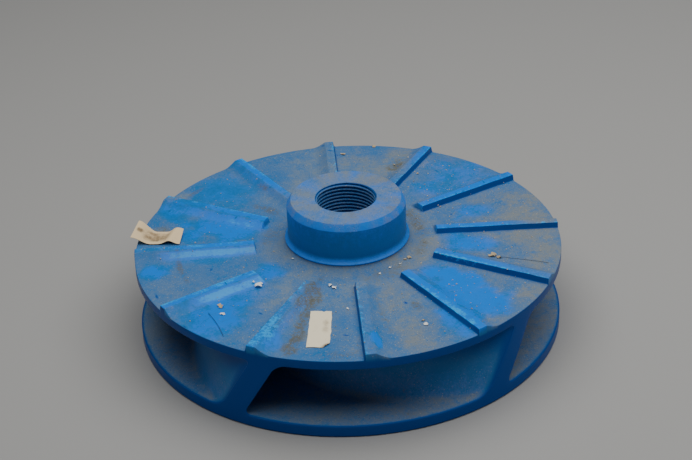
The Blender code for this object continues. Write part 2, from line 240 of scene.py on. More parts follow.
# %% A collector for the patches
class Skin:
    """Gathers the points and faces of all patches."""

    def __init__(self):
        """Start with no points and no faces."""
        self.points = []
        self.faces = []

    def add_faces(self, points, faces):
        """Add points, and faces that number these points from zero."""
        first = sum(len(block) for block in self.points)
        self.points.append(np.asarray(points, float).reshape(-1, 3))
        self.faces += [tuple(first + corner for corner in face) for face in faces]

    def add_grid(self, grid, round_columns=True):
        """Add rows of points, joined to quads; the columns may close into a ring."""
        rows, columns = grid.shape[:2]
        last = columns if round_columns else columns - 1
        faces = []
        for row in range(rows - 1):
            for column in range(last):
                beside = (column + 1) % columns
                low, high = row * columns, (row + 1) * columns
                faces.append((low + column, low + beside, high + beside, high + column))
        self.add_faces(grid, faces)


square = Skin()
square.add_grid(np.zeros((2, 2, 3)), round_columns=False)
print("a grid of two by two points gives", len(square.faces), "face")

# %% [markdown]
# A finished skin becomes an object. Its open edges are counted, because a skin that closes has
# none, and its volume is printed. Each object rides on the one body that the wheel has.

# %% From a skin to an object
MERGE_DISTANCE = 0.00002
SHORTEST_EDGE = 0.000005


def skin_object(name, skin, sharp_angle):
    """Merge a skin's patches, check that they close and make an object of them."""
    mesh = bpy.data.meshes.new(name)
    mesh.from_pydata(np.vstack(skin.points).tolist(), [], skin.faces)
    shape = bmesh.new()
    shape.from_mesh(mesh)
    bmesh.ops.remove_doubles(shape, verts=shape.verts, dist=MERGE_DISTANCE)
    bmesh.ops.dissolve_degenerate(shape, edges=shape.edges, dist=SHORTEST_EDGE)
    bmesh.ops.recalc_face_normals(shape, faces=shape.faces)
    open_edges = sum(not edge.is_manifold for edge in shape.edges)
    triangles = sum(len(face.verts) - 2 for face in shape.faces)
    litres = shape.calc_volume() * 1000
    print(f"{name}: {triangles} triangles, {open_edges} open edges, {litres:.2f} litres")
    shape.to_mesh(mesh)
    shape.free()
    mesh.shade_smooth()
    mesh.set_sharp_from_angle(angle=math.radians(sharp_angle))
    thing = put_in_scene(name, mesh)
    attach(thing, "root")
    return thing


def to_space(radius, angle, height):
    """Points from their distance to the shaft axis, their angle and their height."""
    return np.column_stack((radius * np.cos(angle), radius * np.sin(angle), height))


def axis_distance(points):
    """Distance of each point from the shaft axis."""
    return np.hypot(points[:, 0], points[:, 1])


def turned(outline, angles):
    """A grid of points: each row is one point of a (radius, height) outline, taken round the axis."""
    outline = np.asarray(outline)
    radius = outline[:, :1]
    height = np.broadcast_to(outline[:, 1:], (len(outline), len(angles)))
    return np.dstack((radius * np.cos(angles), radius * np.sin(angles), height))


print("points in a ring of one turned point:", turned([(1, 0)], np.linspace(0, 6, 7)).shape[1])

# %% [markdown]
# The back face
#
# Twelve radial vanes stand on the back of the impeller and throw grit away from the shaft seal.
# Each has one steep side and one that slopes off, so its section is a single rounded line. The
# face is a grid in rings and spokes: the spokes crowd together where the section bends, which
# keeps the edges crisp with few faces. The vanes keep one width from hub to rim.

# %% The section of a back vane
BACK_VANE_HEIGHT = 0.0105
BACK_VANE_DRAFT = 0.0020
BACK_VANE_FLAT_END = 0.0165
BACK_VANE_SLOPE = 0.025
VANE_FLAT_MIDDLE = 0.0095
VANE_FOOT_FILLET = 0.0030
VANE_FLAT_FILLET = 0.0030
VANE_SHARP_EDGE = 0.0010
SECTION_BEFORE = 0.009
SECTION_AFTER = 0.050
FILLET_STEPS = 4
SLOPE_STEPS = 6

slope_corners = []
for step in range(1, SLOPE_STEPS + 1):
    share = step / SLOPE_STEPS
    drop = math.sin(share * math.pi / 2)
    slope_corners.append((BACK_VANE_FLAT_END + BACK_VANE_SLOPE * share, BACK_VANE_HEIGHT * (1 - drop)))
section_corners = [(-SECTION_BEFORE, 0.0), (0.0, 0.0), (BACK_VANE_DRAFT, BACK_VANE_HEIGHT)]
section_corners += [(VANE_FLAT_MIDDLE, BACK_VANE_HEIGHT), (BACK_VANE_FLAT_END, BACK_VANE_HEIGHT)]
section_corners += slope_corners + [(SECTION_AFTER, 0.0)]
section_radii = [0, VANE_FOOT_FILLET, VANE_SHARP_EDGE, 0, VANE_FLAT_FILLET] + [0] * (SLOPE_STEPS + 1)
section = rounded(section_corners, section_radii, FILLET_STEPS)
print("points across one vane:", len(section))

# %% [markdown]
# No two vanes of a casting are quite alike, so each gets its own height and width by chance. Four
# stand a little off the even spacing and one begins further out, as in the photograph. Between
# two vanes, the spokes are shared out evenly.

# %% The spokes of the grid
BACK_VANE_COUNT = 12
BACK_VANE_FIRST = math.radians(2.8)
BACK_VANE_TURNS_IN_DEGREES = {4: -1.5, 5: -2.0, 6: -1.2, 7: -0.6}
HEIGHT_SPREAD = 0.06
FLAT_SPREAD = 0.12
INNER_SPREAD = (-0.004, 0.003)
SHORT_VANE = 7
SHORT_VANE_CUT = 0.030
GAP_SPOKES = 12
SPOKE_FAN = 0.142

dice = np.random.default_rng(12)
height_share = 1 + dice.uniform(-HEIGHT_SPREAD, HEIGHT_SPREAD, BACK_VANE_COUNT)
flat_share = 1 + dice.uniform(-FLAT_SPREAD, FLAT_SPREAD, BACK_VANE_COUNT)
inner_shift = dice.uniform(*INNER_SPREAD, BACK_VANE_COUNT)
inner_shift[SHORT_VANE] = SHORT_VANE_CUT
turns = [BACK_VANE_TURNS_IN_DEGREES.get(vane, 0.0) for vane in range(BACK_VANE_COUNT)]
vane_angles = BACK_VANE_FIRST + np.arange(BACK_VANE_COUNT) * math.tau / BACK_VANE_COUNT + np.radians(turns)

spoke_vane = np.repeat(np.arange(BACK_VANE_COUNT), len(section) + GAP_SPOKES)
spoke_step = np.tile(np.arange(len(section) + GAP_SPOKES), BACK_VANE_COUNT)
spoke_offset = np.full(len(spoke_vane), np.nan)
spoke_height = np.zeros(len(spoke_vane))
for vane in range(BACK_VANE_COUNT):
    own = np.flatnonzero(spoke_vane == vane)[:len(section)]
    beyond = section[:, 0] > BACK_VANE_DRAFT
    widened = BACK_VANE_DRAFT + (section[:, 0] - BACK_VANE_DRAFT) * flat_share[vane]
    spoke_offset[own] = np.where(beyond, widened, section[:, 0])
    spoke_height[own] = section[:, 1] * height_share[vane]
print("spokes round the back face:", len(spoke_vane))


def spoke_angles(radius):
    """Angle of every spoke at one radius; the gaps between vanes are shared out evenly."""
    angles = vane_angles[spoke_vane] + spoke_offset / max(radius, SPOKE_FAN)
    known = np.flatnonzero(~np.isnan(angles))
    ahead = np.append(known, known[0] + len(angles))
    values = np.append(angles[known], angles[known[0]] + math.tau)
    return np.interp(np.arange(len(angles)), ahead, values)


# %% [markdown]
# The rings run from under the hub's base ring, down the fillet, across the face and over the rim's
# rounded edge. Near the inner ends of the vanes they crowd together as well.

# %% The rings of the grid
RIM_EDGE = 0.0012
BAND_TOP = 0.1335
BACK_VANE_INNER = 0.150
RING_SPACING = 0.0031
FOOT_SPACING = 0.004
FOOT_STEPS = 9
FOOT_INSET = 0.0010
FOOT_TOP_HANDLE = (0.0005, 0.0050)
FOOT_END_HANDLE = (0.009, 0.0010)
VANE_END_DRAFT = 0.0025
VANE_END_REACH = 0.008
BEFORE_VANE_END = 0.010
AFTER_VANE_END = 0.011
RIM_MARGIN = 0.003

foot_top = RING_TOP - RING_STEP
foot_height = back_face_height(FOOT_RADIUS)
foot = bezier(
    (RING_RADIUS - FOOT_INSET, foot_top),
    (RING_RADIUS - FOOT_TOP_HANDLE[0], foot_top - FOOT_TOP_HANDLE[1]),
    (FOOT_RADIUS - FOOT_END_HANDLE[0], foot_height + FOOT_END_HANDLE[1]),
    (FOOT_RADIUS, foot_height), FOOT_STEPS,
)
end_corners = [
    (-SECTION_BEFORE, 0), (0, 0), (VANE_END_DRAFT, BACK_VANE_HEIGHT), (VANE_END_REACH, BACK_VANE_HEIGHT),
]
end_line = rounded(end_corners, [0, VANE_FOOT_FILLET, VANE_SHARP_EDGE, 0], FILLET_STEPS)
rings = [(radius, height, 0.0) for radius, height in foot]
for radius in np.arange(FOOT_RADIUS + FOOT_SPACING, BACK_VANE_INNER - BEFORE_VANE_END, FOOT_SPACING):
    rings.append((radius, back_face_height(radius), 0.0))
for along, height in end_line:
    radius = BACK_VANE_INNER + along
    rings.append((radius, back_face_height(radius), height / end_line[-1][1]))
for radius in np.arange(BACK_VANE_INNER + AFTER_VANE_END, RIM_RADIUS - RIM_MARGIN, RING_SPACING):
    rings.append((radius, back_face_height(radius), 1.0))
for turn in np.radians([0, 30, 60, 90]):
    radius = RIM_RADIUS - RIM_EDGE * (1 - math.sin(turn))
    rings.append((radius, back_face_height(radius) - RIM_EDGE * (1 - math.cos(turn)), 1.0))
rings.append((RIM_RADIUS, BAND_TOP, 0.0))
rings = np.array(rings)
print("rings of the back face:", len(rings))

# %% [markdown]
# Two sizes of noise make the face as uneven as sand-cast iron, fading out at the rim, which looks
# turned on a lathe. The tops of the vanes are worn a little more unevenly still.

# %% The finished back face
SHIFT_STARTS = (0.120, 0.146)
SHIFT_ENDS = (0.290, 0.160)
CAST_LUMPS = [(0.00045, 0.045, 1), (0.00022, 0.011, 2)]
TURNED_WIDTH = 0.006
WORN_DEPTH = 0.0005
WORN_LUMP = 0.018
WORN_MARGIN = 0.004


def back_face_grid():
    """Points of the back face, ring by ring."""
    known = np.flatnonzero(~np.isnan(spoke_offset))
    shift = np.interp(np.arange(len(spoke_vane)), known, inner_shift[spoke_vane[known]])
    grid = []
    for radius, height, share in rings:
        near_end = soft_step(*SHIFT_STARTS, radius) * soft_step(*SHIFT_ENDS, radius)
        radii = radius + shift * near_end
        angles = spoke_angles(radius)
        grid.append(to_space(radii, angles, height + spoke_height * share))
    return np.array(grid)


def unevenness(points):
    """Height error of the sand-cast face, fading out at the turned rim and hub."""
    lumps = sum(height * noise_at(points, size, seed) for height, size, seed in CAST_LUMPS)
    radius = axis_distance(points)
    lumps = lumps * soft_step(RIM_RADIUS, RIM_RADIUS - TURNED_WIDTH, radius)
    return lumps * soft_step(RING_RADIUS, FOOT_RADIUS, radius)


back_grid = back_face_grid()
back_points = back_grid.reshape(-1, 3)
above_face = np.tile(spoke_height, len(rings)) * np.repeat(rings[:, 2], len(spoke_vane))
back_points[:, 2] += unevenness(np.column_stack((back_points[:, :2], np.zeros(len(back_points)))))
worn = noise_at(back_points, WORN_LUMP, seed=5) * above_face / BACK_VANE_HEIGHT
worn *= soft_step(RIM_RADIUS, RIM_RADIUS - WORN_MARGIN, axis_distance(back_points))
back_points[:, 2] += WORN_DEPTH * worn
print("back face:", back_grid.shape[0], "rings of", back_grid.shape[1], "spokes")

# %% [markdown]
# The pump vanes and the channels between them
#
# Five vanes join the two shrouds. They sweep out in a spiral, taken to be a logarithmic one, and
# they also lean, as their ends in the rim show. A channel is described by two
# shares: one across from vane to vane, one up from floor to ceiling. A rounded loop in these
# shares, carried inwards along the spiral, gives the whole lining with its corner fillets.

# %% The shape of a channel
CHANNELS = 5
VANE_FIRST = math.radians(-117.3)
VANE_LEAN = math.radians(34) / RIM_RADIUS
VANE_LEAN_HEIGHT = 0.070
OUTLET_ANGLE = math.radians(24)
VANE_THICKNESS = 0.0165
VANE_SLANT = math.radians(13.6)
VANE_INLET_SHARE = 0.55
VANE_TAPER = 0.060
VANE_NOSE = 0.006
WINDOW_EDGE = 0.0012
FILLET_REACH = {"low_left": 0.015, "low_right": 0.022, "high_right": 0.012, "high_left": 0.016}
INLET_FRONT = 0.163
INLET_BACK = 0.128
FLARE_RADIUS = 0.185
FLARE_HANDLE_SHARE = 0.35
FLARE_STEPS = 24
HUB_JOINT_FLOW = 0.1015
HUB_JOINT_SLOPE = math.radians(42)

flare_reach = (FLARE_RADIUS - RING_RADIUS) * FLARE_HANDLE_SHARE
joint_handle = (
    RING_RADIUS + flare_reach * math.cos(HUB_JOINT_SLOPE),
    HUB_JOINT_FLOW + flare_reach * math.sin(HUB_JOINT_SLOPE),
)
flare = bezier(
    (FLARE_RADIUS, FLOW_CEILING), (FLARE_RADIUS - flare_reach, FLOW_CEILING),
    joint_handle, (RING_RADIUS, HUB_JOINT_FLOW), FLARE_STEPS,
)


def ceiling_height(radius):
    """Height of the channels' ceiling, which drops towards the hub."""
    return np.interp(radius, flare[::-1, 0], flare[::-1, 1])


def vane_centre(radius, height):
    """Angle of the first vane's middle: a logarithmic spiral that leans with the height."""
    sweep = np.log(RIM_RADIUS / radius) / math.tan(OUTLET_ANGLE)
    return VANE_FIRST + VANE_LEAN * (height - VANE_LEAN_HEIGHT) - sweep


def vane_half_angle(radius, edge_radius):
    """Half the vane's width as an angle: thinner inwards, with a rounded inlet edge."""
    depth = radius - edge_radius
    body = VANE_INLET_SHARE + (1 - VANE_INLET_SHARE) * soft_step(0.0, VANE_TAPER, depth)
    edge = np.sqrt(1 - (1 - np.clip(depth / VANE_NOSE, 0, 1)) ** 2)
    width = VANE_THICKNESS * body * edge / (math.sin(OUTLET_ANGLE) * math.cos(VANE_SLANT))
    return width / 2 / radius


def channel_points(channel, inwards, across, up):
    """Points of one channel's lining at a share of the way inwards."""
    edge_radius = INLET_FRONT + (INLET_BACK - INLET_FRONT) * up
    start = RIM_RADIUS - WINDOW_EDGE
    radius = start + (edge_radius - start) * inwards
    height = FLOW_FLOOR + (ceiling_height(radius) - FLOW_FLOOR) * up
    half = vane_half_angle(radius, edge_radius)
    left = vane_centre(radius, height) + channel * math.tau / CHANNELS
    angle = left + half + (math.tau / CHANNELS - 2 * half) * across
    return radius, angle, height


# %% [markdown]
# A loop has its points in the same order at every station, so the stations join up without any
# thought. Its corners are quarter circles in the shares; on the leaning side they come out as the
# tight and the open fillets that the real windows show.

# %% Loops round a channel
ACROSS_STEPS = 36
UP_STEPS = 10
CORNER_STEPS = 6
VANE_GIRTH = 0.050
VANE_SIDE_LEAN = math.radians(30)
CORNER_FADE = 6


def channel_loop(inwards):
    """(across, up) shares of one loop, anticlockwise from the floor's left end."""
    radius = RIM_RADIUS + (INLET_FRONT - RIM_RADIUS) * inwards
    width = radius * math.tau / CHANNELS - VANE_GIRTH * (1 - inwards)
    side = (FLOW_CEILING - FLOW_FLOOR) / math.cos(VANE_SIDE_LEAN)
    fade = math.sqrt(1 - inwards ** CORNER_FADE)
    reach = {corner: (size * fade / width, size * fade / side) for corner, size in FILLET_REACH.items()}
    quarter = np.linspace(0, math.pi / 2, CORNER_STEPS + 1)[1:-1]
    late = 1 - np.sin(quarter)
    early = 1 - np.cos(quarter)

    def corner(name, right, high, rising):
        """Arc of one corner; its two shares swap roles between rising and running corners."""
        across, up = reach[name]
        across = across * (late if rising else early)
        up = up * (early if rising else late)
        return np.column_stack((1 - across if right else across, 1 - up if high else up))

    def level(start, end, height):
        """A run along the floor or the ceiling."""
        across = np.linspace(start, end, ACROSS_STEPS + 1)
        return np.column_stack((across, np.full(len(across), height)))

    def upright(start, end, place):
        """A run up or down a vane's side."""
        return np.column_stack((np.full(UP_STEPS + 1, place), np.linspace(start, end, UP_STEPS + 1)))

    return np.vstack((
        level(reach["low_left"][0], 1 - reach["low_right"][0], 0.0),
        corner("low_right", True, False, True),
        upright(reach["low_right"][1], 1 - reach["high_right"][1], 1.0),
        corner("high_right", True, True, False),
        level(1 - reach["high_right"][0], reach["high_left"][0], 1.0),
        corner("high_left", False, True, True),
        upright(1 - reach["high_left"][1], reach["low_left"][1], 0.0),
        corner("low_left", False, False, False),
    ))


print("points in one loop:", len(channel_loop(0.0)))

# %% [markdown]
# The window's edge on the rim is rounded as well, by three more loops. Then the stations follow
# one another inwards, a little closer together near the rim, where they can be seen.

# %% The lining of the channels
STATIONS = 30
STATION_CROWDING = 1.08


def window_loops(channel):
    """Loops over the window's rounded edge: (radius, angle, height), from the rim face inwards."""
    radius, angle, height = channel_points(channel, 0.0, *channel_loop(0.0).T)
    flat = np.column_stack((RIM_RADIUS * angle, height))
    along = np.roll(flat, -1, axis=0) - np.roll(flat, 1, axis=0)
    along /= np.linalg.norm(along, axis=1)[:, None]
    outward = np.column_stack((along[:, 1], -along[:, 0]))
    loops = []
    for turn in np.radians([0, 30, 60]):
        moved = flat + outward * WINDOW_EDGE * (1 - math.sin(turn))
        depth = WINDOW_EDGE * (1 - math.cos(turn))
        loops.append((np.full(len(flat), RIM_RADIUS - depth), moved[:, 0] / RIM_RADIUS, moved[:, 1]))
    return loops


def channel_grid(channel):
    """The whole lining of one channel, from the rim face to the vanes' inlet edges."""
    loops = [to_space(*loop) for loop in window_loops(channel)]
    for inwards in np.linspace(0, 1, STATIONS) ** STATION_CROWDING:
        loops.append(to_space(*channel_points(channel, inwards, *channel_loop(inwards).T)))
    return np.array(loops)


channel_grids = [channel_grid(channel) for channel in range(CHANNELS)]
print("each channel:", channel_grids[0].shape[0], "loops of", channel_grids[0].shape[1], "points")

# %% [markdown]
# The nose, the eye and the front face
#
# Where the channels end, the floor runs over a rounded mouth into the eye, and the ceiling curves
# down to the nose that covers the end of the shaft. Both are turned shapes that start from the
# channels' own last points. The front face lies on the ground: two flat lands with a shallow
# relief between them.

# %% Turned profiles
EYE_RADIUS = 0.147
MOUTH_CURVE = INLET_FRONT - EYE_RADIUS
MOUTH_STEPS = 9
EYE_EDGE = 0.003
EYE_LAND = 0.175
RIM_LAND = 0.325
RELIEF_DEPTH = 0.002
RELIEF_SLOPE = 0.003
LAND_EDGE = 0.001
CHAMFER_EDGE = 0.0008
RIM_CHAMFER = 0.0025
NOSE_WAIST = np.array((0.072, 0.066))
WAIST_SLOPE = np.array((0.5, 1.0))
WAIST_HANDLE = 0.018
WAIST_HANDLE_SHARE = 0.7
FLANK_HANDLE = 0.012
TIP_HANDLE = 0.036
FLANK_STEPS = 8
DOME_STEPS = 14
TURNED_STEPS = 3
FLARE_CLEARANCE = 0.001

inlet_share = channel_loop(1.0)
floor_part = slice(0, ACROSS_STEPS)
ceiling_start = ACROSS_STEPS + 1 + 2 * (CORNER_STEPS - 1) + UP_STEPS + 1
ceiling_part = slice(ceiling_start, ceiling_start + ACROSS_STEPS + 1)


def inlet_angles(part, backwards):
    """Angles of the floor's or the ceiling's last points, all the way round."""
    angles = []
    for channel in range(CHANNELS):
        own = channel_points(channel, 1.0, *inlet_share.T)[1][part]
        angles.append(own[::-1][:ACROSS_STEPS] if backwards else own)
    return np.concatenate(angles)


floor_angles = inlet_angles(floor_part, False)
ceiling_angles = inlet_angles(ceiling_part, True)

mouth = [
    (INLET_FRONT - MOUTH_CURVE * math.sin(turn), FLOW_FLOOR - MOUTH_CURVE * (1 - math.cos(turn)))
    for turn in np.radians(np.linspace(0, 90, MOUTH_STEPS))
]
front_corners = [
    (EYE_RADIUS, FLOW_FLOOR - MOUTH_CURVE), (EYE_RADIUS, 0.0), (EYE_LAND, 0.0),
    (EYE_LAND + RELIEF_SLOPE, RELIEF_DEPTH), (RIM_LAND - RELIEF_SLOPE, RELIEF_DEPTH),
    (RIM_LAND, 0.0), (RIM_RADIUS - RIM_CHAMFER, 0.0), (RIM_RADIUS, RIM_CHAMFER),
]
front_radii = [0, EYE_EDGE, LAND_EDGE, RELIEF_SLOPE, RELIEF_SLOPE, LAND_EDGE, CHAMFER_EDGE, 0]
front_line = rounded(front_corners, front_radii, TURNED_STEPS)
front_outline = np.vstack((mouth[:-1], front_line))

nose_direction = np.array((math.cos(HUB_JOINT_SLOPE), math.sin(HUB_JOINT_SLOPE)))
waist_handle = WAIST_SLOPE / math.hypot(*WAIST_SLOPE) * WAIST_HANDLE
inner_flare = [(INLET_BACK, float(ceiling_height(INLET_BACK)))]
inner_flare += [tuple(point) for point in flare if point[0] < INLET_BACK - FLARE_CLEARANCE]
flank = bezier(
    (RING_RADIUS, HUB_JOINT_FLOW), (RING_RADIUS, HUB_JOINT_FLOW) - nose_direction * FLANK_HANDLE,
    NOSE_WAIST + waist_handle * WAIST_HANDLE_SHARE, NOSE_WAIST, FLANK_STEPS,
)
dome = bezier(NOSE_WAIST, NOSE_WAIST - waist_handle, (TIP_HANDLE, NOSE_TIP), (0.0, NOSE_TIP), DOME_STEPS)
nose_outline = np.vstack((inner_flare, flank[1:], dome[1:]))
print("front profile:", len(front_outline), "points, nose profile:", len(nose_outline), "points")

# %% [markdown]
# The rim with its windows
#
# The rim is a plain cylinder with five leaning windows. Unrolled, it is a flat strip, and Blender's
# constrained Delaunay triangulation fills such a strip round the holes. Extra points spread over
# it keep the triangles small, so that the strip still follows the circle when it is rolled up.

# %% Helpers for flat loops
TINY = 1e-15


def inside(points, loop):
    """Even-odd test of points against one closed loop."""
    result = np.zeros(len(points), bool)
    for start, end in zip(loop, np.roll(loop, -1, axis=0)):
        crosses = (start[1] > points[:, 1]) != (end[1] > points[:, 1])
        if crosses.any():
            slope = (end[0] - start[0]) / (end[1] - start[1] + TINY)
            result ^= crosses & (points[:, 0] < start[0] + slope * (points[:, 1] - start[1]))
    return result


def half_turn(angle):
    """The same angle between minus and plus half a turn."""
    return (angle + math.pi) % math.tau - math.pi


def unrolled(angles, start):
    """The angles from start onwards once round, in order, with the first repeated a turn later."""
    first = int(np.argmin(np.abs(half_turn(angles - start))))
    order = np.roll(angles, -first)
    steps = half_turn(np.diff(np.append(order, order[0])))
    base = start + half_turn(order[0] - start)
    return np.concatenate(([base], base + np.cumsum(steps)))


unit_square = np.array([(0, 0), (1, 0), (1, 1), (0, 1)])
print("points in and beside a square:", inside(np.array([(0.5, 0.5), (1.5, 0.5)]), unit_square))

# %% [markdown]
# The strip is cut open along a leaning seam that runs up the middle of a vane, where no window is
# in the way. Its lower and upper edges use the very angles of the front face and of the back face.

# %% Outline, windows and inner points of the strip
FILL_SPACING = 0.0075
FILL_CLEARANCE = 0.0036
ROW_SHARE = 0.87
LOWEST_ROW = 0.006
EDGE_MARGIN = 0.003
SEAM_STEPS = 15
SEAM_BELOW = 0.004
SEAM_ABOVE = 0.003


def strip_outline():
    """The closed outline of the unrolled rim."""
    low_angles = unrolled(floor_angles, vane_centre(RIM_RADIUS, RIM_CHAMFER))
    top_angles = unrolled(spoke_angles(RIM_RADIUS), vane_centre(RIM_RADIUS, BAND_TOP))
    low = np.column_stack((low_angles * RIM_RADIUS, np.full(len(low_angles), RIM_CHAMFER)))
    top = np.column_stack((top_angles * RIM_RADIUS, np.full(len(top_angles), BAND_TOP)))
    seam_height = np.linspace(FLOW_FLOOR - SEAM_BELOW, FLOW_CEILING + SEAM_ABOVE, SEAM_STEPS)
    seam = np.column_stack((vane_centre(RIM_RADIUS, seam_height) * RIM_RADIUS, seam_height))
    return np.vstack((low, seam + (math.tau * RIM_RADIUS, 0), top[::-1], seam[::-1]))


def strip_windows():
    """The five window outlines on the unrolled rim."""
    loops = [window_loops(channel)[0] for channel in range(CHANNELS)]
    return [np.column_stack((angle * RIM_RADIUS, height)) for _, angle, height in loops]


def strip_points(windows):
    """Staggered rows of points between the windows and clear of them."""
    points = []
    rows = np.arange(RIM_CHAMFER + LOWEST_ROW, BAND_TOP - EDGE_MARGIN, FILL_SPACING * ROW_SHARE)
    for index, height in enumerate(rows):
        seam = vane_centre(RIM_RADIUS, height) * RIM_RADIUS
        first = FILL_SPACING * (0.5 + 0.5 * (index % 2))
        places = seam + np.arange(first, math.tau * RIM_RADIUS - EDGE_MARGIN, FILL_SPACING)
        points += [(place, height) for place in places]
    points = np.array(points)
    keep = np.ones(len(points), bool)
    for window in windows:
        gap = np.linalg.norm(points[:, None] - window[None], axis=2).min(axis=1)
        keep &= ~inside(points, window) & (gap > FILL_CLEARANCE)
    return points[keep]


strip = [strip_outline(), *strip_windows()]
filling = strip_points(strip[1:])
print("rim strip:", len(strip[0]), "points round it,", len(filling), "points in it")

# %% [markdown]
# The triangulation takes the points and the edges that it must keep, and also fills the windows.
# Triangles whose middle lies in a window or past the outline are thrown away.

# %% Fill the strip and roll it up
TRIANGULATION_LIMIT = 1e-7


def filled_strip(loops, points):
    """Points and triangles between an outline and the holes in it."""
    edges = []
    first = 0
    for loop in loops:
        edges += [(first + step, first + (step + 1) % len(loop)) for step in range(len(loop))]
        first += len(loop)
    flat = [Vector(point) for point in np.vstack((*loops, points))]
    found = delaunay_2d_cdt(flat, edges, [], 0, TRIANGULATION_LIMIT)
    flat = np.array([tuple(point) for point in found[0]])
    faces = np.array([tuple(face) for face in found[2]])
    middle = flat[faces].mean(axis=1)
    keep = inside(middle, loops[0])
    for window in loops[1:]:
        keep &= ~inside(middle, window)
    return flat, faces[keep]


rim_flat, rim_faces = filled_strip(strip, filling)
rim_points = to_space(np.full(len(rim_flat), RIM_RADIUS), rim_flat[:, 0] / RIM_RADIUS, rim_flat[:, 1])
print("rim:", len(rim_faces), "triangles")

# %% [markdown]
# The real wheel is a single piece of iron, so the patches are now merged at their common borders
# into a single closed skin. It stands for both shrouds and all vanes. The hub stays a piece of
# its own, and a hidden socket keeps the skin closed under it.

# %% Join the patches into one closed skin
SOCKET_RADIUS = 0.0700
SOCKET_BOTTOM = 0.0920
SHARP_CAST_ANGLE = 38

skin = Skin()
skin.add_grid(back_grid)
skin.add_faces(rim_points, rim_faces)
for grid in channel_grids:
    skin.add_grid(grid)
skin.add_grid(turned(front_outline, floor_angles))
skin.add_grid(turned(nose_outline, ceiling_angles))
inner_radius, inner_height = foot[0]
socket_outline = [
    (inner_radius, inner_height), (SOCKET_RADIUS, inner_height), (SOCKET_RADIUS, SOCKET_BOTTOM),
    (0.0, SOCKET_BOTTOM),
]
skin.add_grid(turned(socket_outline, spoke_angles(inner_radius)))

casting = skin_object("impeller_casting", skin, SHARP_CAST_ANGLE)
replaced = ["back_shroud", "front_shroud", *[f"pump_vane_{n + 1}" for n in range(CHANNELS)]]
replaced += [f"back_vane_{n + 1:02d}" for n in range(BACK_VANE_COUNT)]
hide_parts(*replaced)

# %% [markdown]
# The threaded hub
#
# The impeller is screwed onto its shaft, so its hub has a coarse right-hand thread. The outside is
# a turned line with a chamfer on top and a hollow flare down to the base ring. The thread needs
# no cutting here: on a fine grid round the bore, the radius is a formula of angle and height.

# %% Sizes and outline of the hub
HUB_SPOKES = 150
THREAD_PITCH = 0.00635
THREAD_CREST = 0.0474
THREAD_ROOT = 0.0504
THREAD_ROWS = 12
CHAMFER_WIDTH = 0.0070
CHAMFER_HEIGHT = 0.0105
MOUTH_RADIUS = 0.0508
MOUTH_DEPTH = 0.0034
RELIEF_RADIUS = 0.0512
RELIEF_TOP = 0.1400
BORE_BOTTOM = 0.1000
UNDERSIDE = BORE_BOTTOM - 0.004
SEAT_GAP = 0.0002
SEAT_INSET = 0.001
RING_EDGE = 0.0008
RING_EDGE_SMALL = 0.0003
FLARE_LOW_HANDLE = (0.0042, 0.0018)
FLARE_HIGH_HANDLE = 0.0055
HUB_FLARE_STEPS = 8
CHAMFER_ROUND = 0.0016
MOUTH_ROUND = 0.0006
MOUTH_BEVEL = 0.0012
RING_ROUNDS = [0, 0.0005, 0.0006, 0.0005]

seat = RING_TOP - RING_STEP + SEAT_GAP
hub_flare = bezier(
    (RING_RADIUS - RING_EDGE, RING_TOP),
    (RING_RADIUS - FLARE_LOW_HANDLE[0], RING_TOP + FLARE_LOW_HANDLE[1]),
    (HUB_RADIUS, RING_TOP + FLARE_HIGH_HANDLE), (HUB_RADIUS, FLARE_TOP), HUB_FLARE_STEPS,
)
hub_corners = [
    (SOCKET_RADIUS - SEAT_INSET, UNDERSIDE), (SOCKET_RADIUS - SEAT_INSET, seat),
    (RING_RADIUS - RING_EDGE_SMALL, seat), (RING_RADIUS, RING_TOP - RING_EDGE), *hub_flare,
    (HUB_RADIUS, HUB_TOP - CHAMFER_HEIGHT), (HUB_RADIUS - CHAMFER_WIDTH, HUB_TOP),
    (MOUTH_RADIUS, HUB_TOP), (MOUTH_RADIUS - MOUTH_BEVEL, HUB_TOP - MOUTH_BEVEL),
]
hub_radii = RING_ROUNDS + [0] * len(hub_flare) + [CHAMFER_ROUND, CHAMFER_ROUND, MOUTH_ROUND, 0]
hub_line = rounded(hub_corners, hub_radii, TURNED_STEPS)
print("hub profile:", len(hub_line), "points")

# %% [markdown]
# A row of points that ran level round the bore would cut across the crests and leave them ragged.
# So each row climbs with the thread, one pitch a turn, and is only held back at the mouth and at
# the undercut. The grid isn't closed into a ring: its last column lies on its first, a pitch up.

# %% The thread and the finished hub
THREAD_STEEPNESS = 4.2
CREST_SHARE = 0.55
RELIEF_STEEPNESS = 1.2
THREAD_TOP = HUB_TOP - 0.0016
BORE_EDGE = 0.002


def thread_radius(angle, height):
    """Radius of a right-hand thread with flat crests and roots, cut off by the mouth's chamfer."""
    turn = (height / THREAD_PITCH - angle / math.tau) % 1.0
    depth = np.clip((0.5 - np.abs(turn - 0.5)) * THREAD_STEEPNESS - CREST_SHARE, 0, 1)
    radius = THREAD_CREST + (THREAD_ROOT - THREAD_CREST) * depth
    chamfer = MOUTH_RADIUS - (HUB_TOP - height) * (MOUTH_RADIUS - THREAD_CREST) / MOUTH_DEPTH
    relief = RELIEF_RADIUS - (height - RELIEF_TOP) * RELIEF_STEEPNESS
    return np.maximum(radius, np.maximum(chamfer, relief))


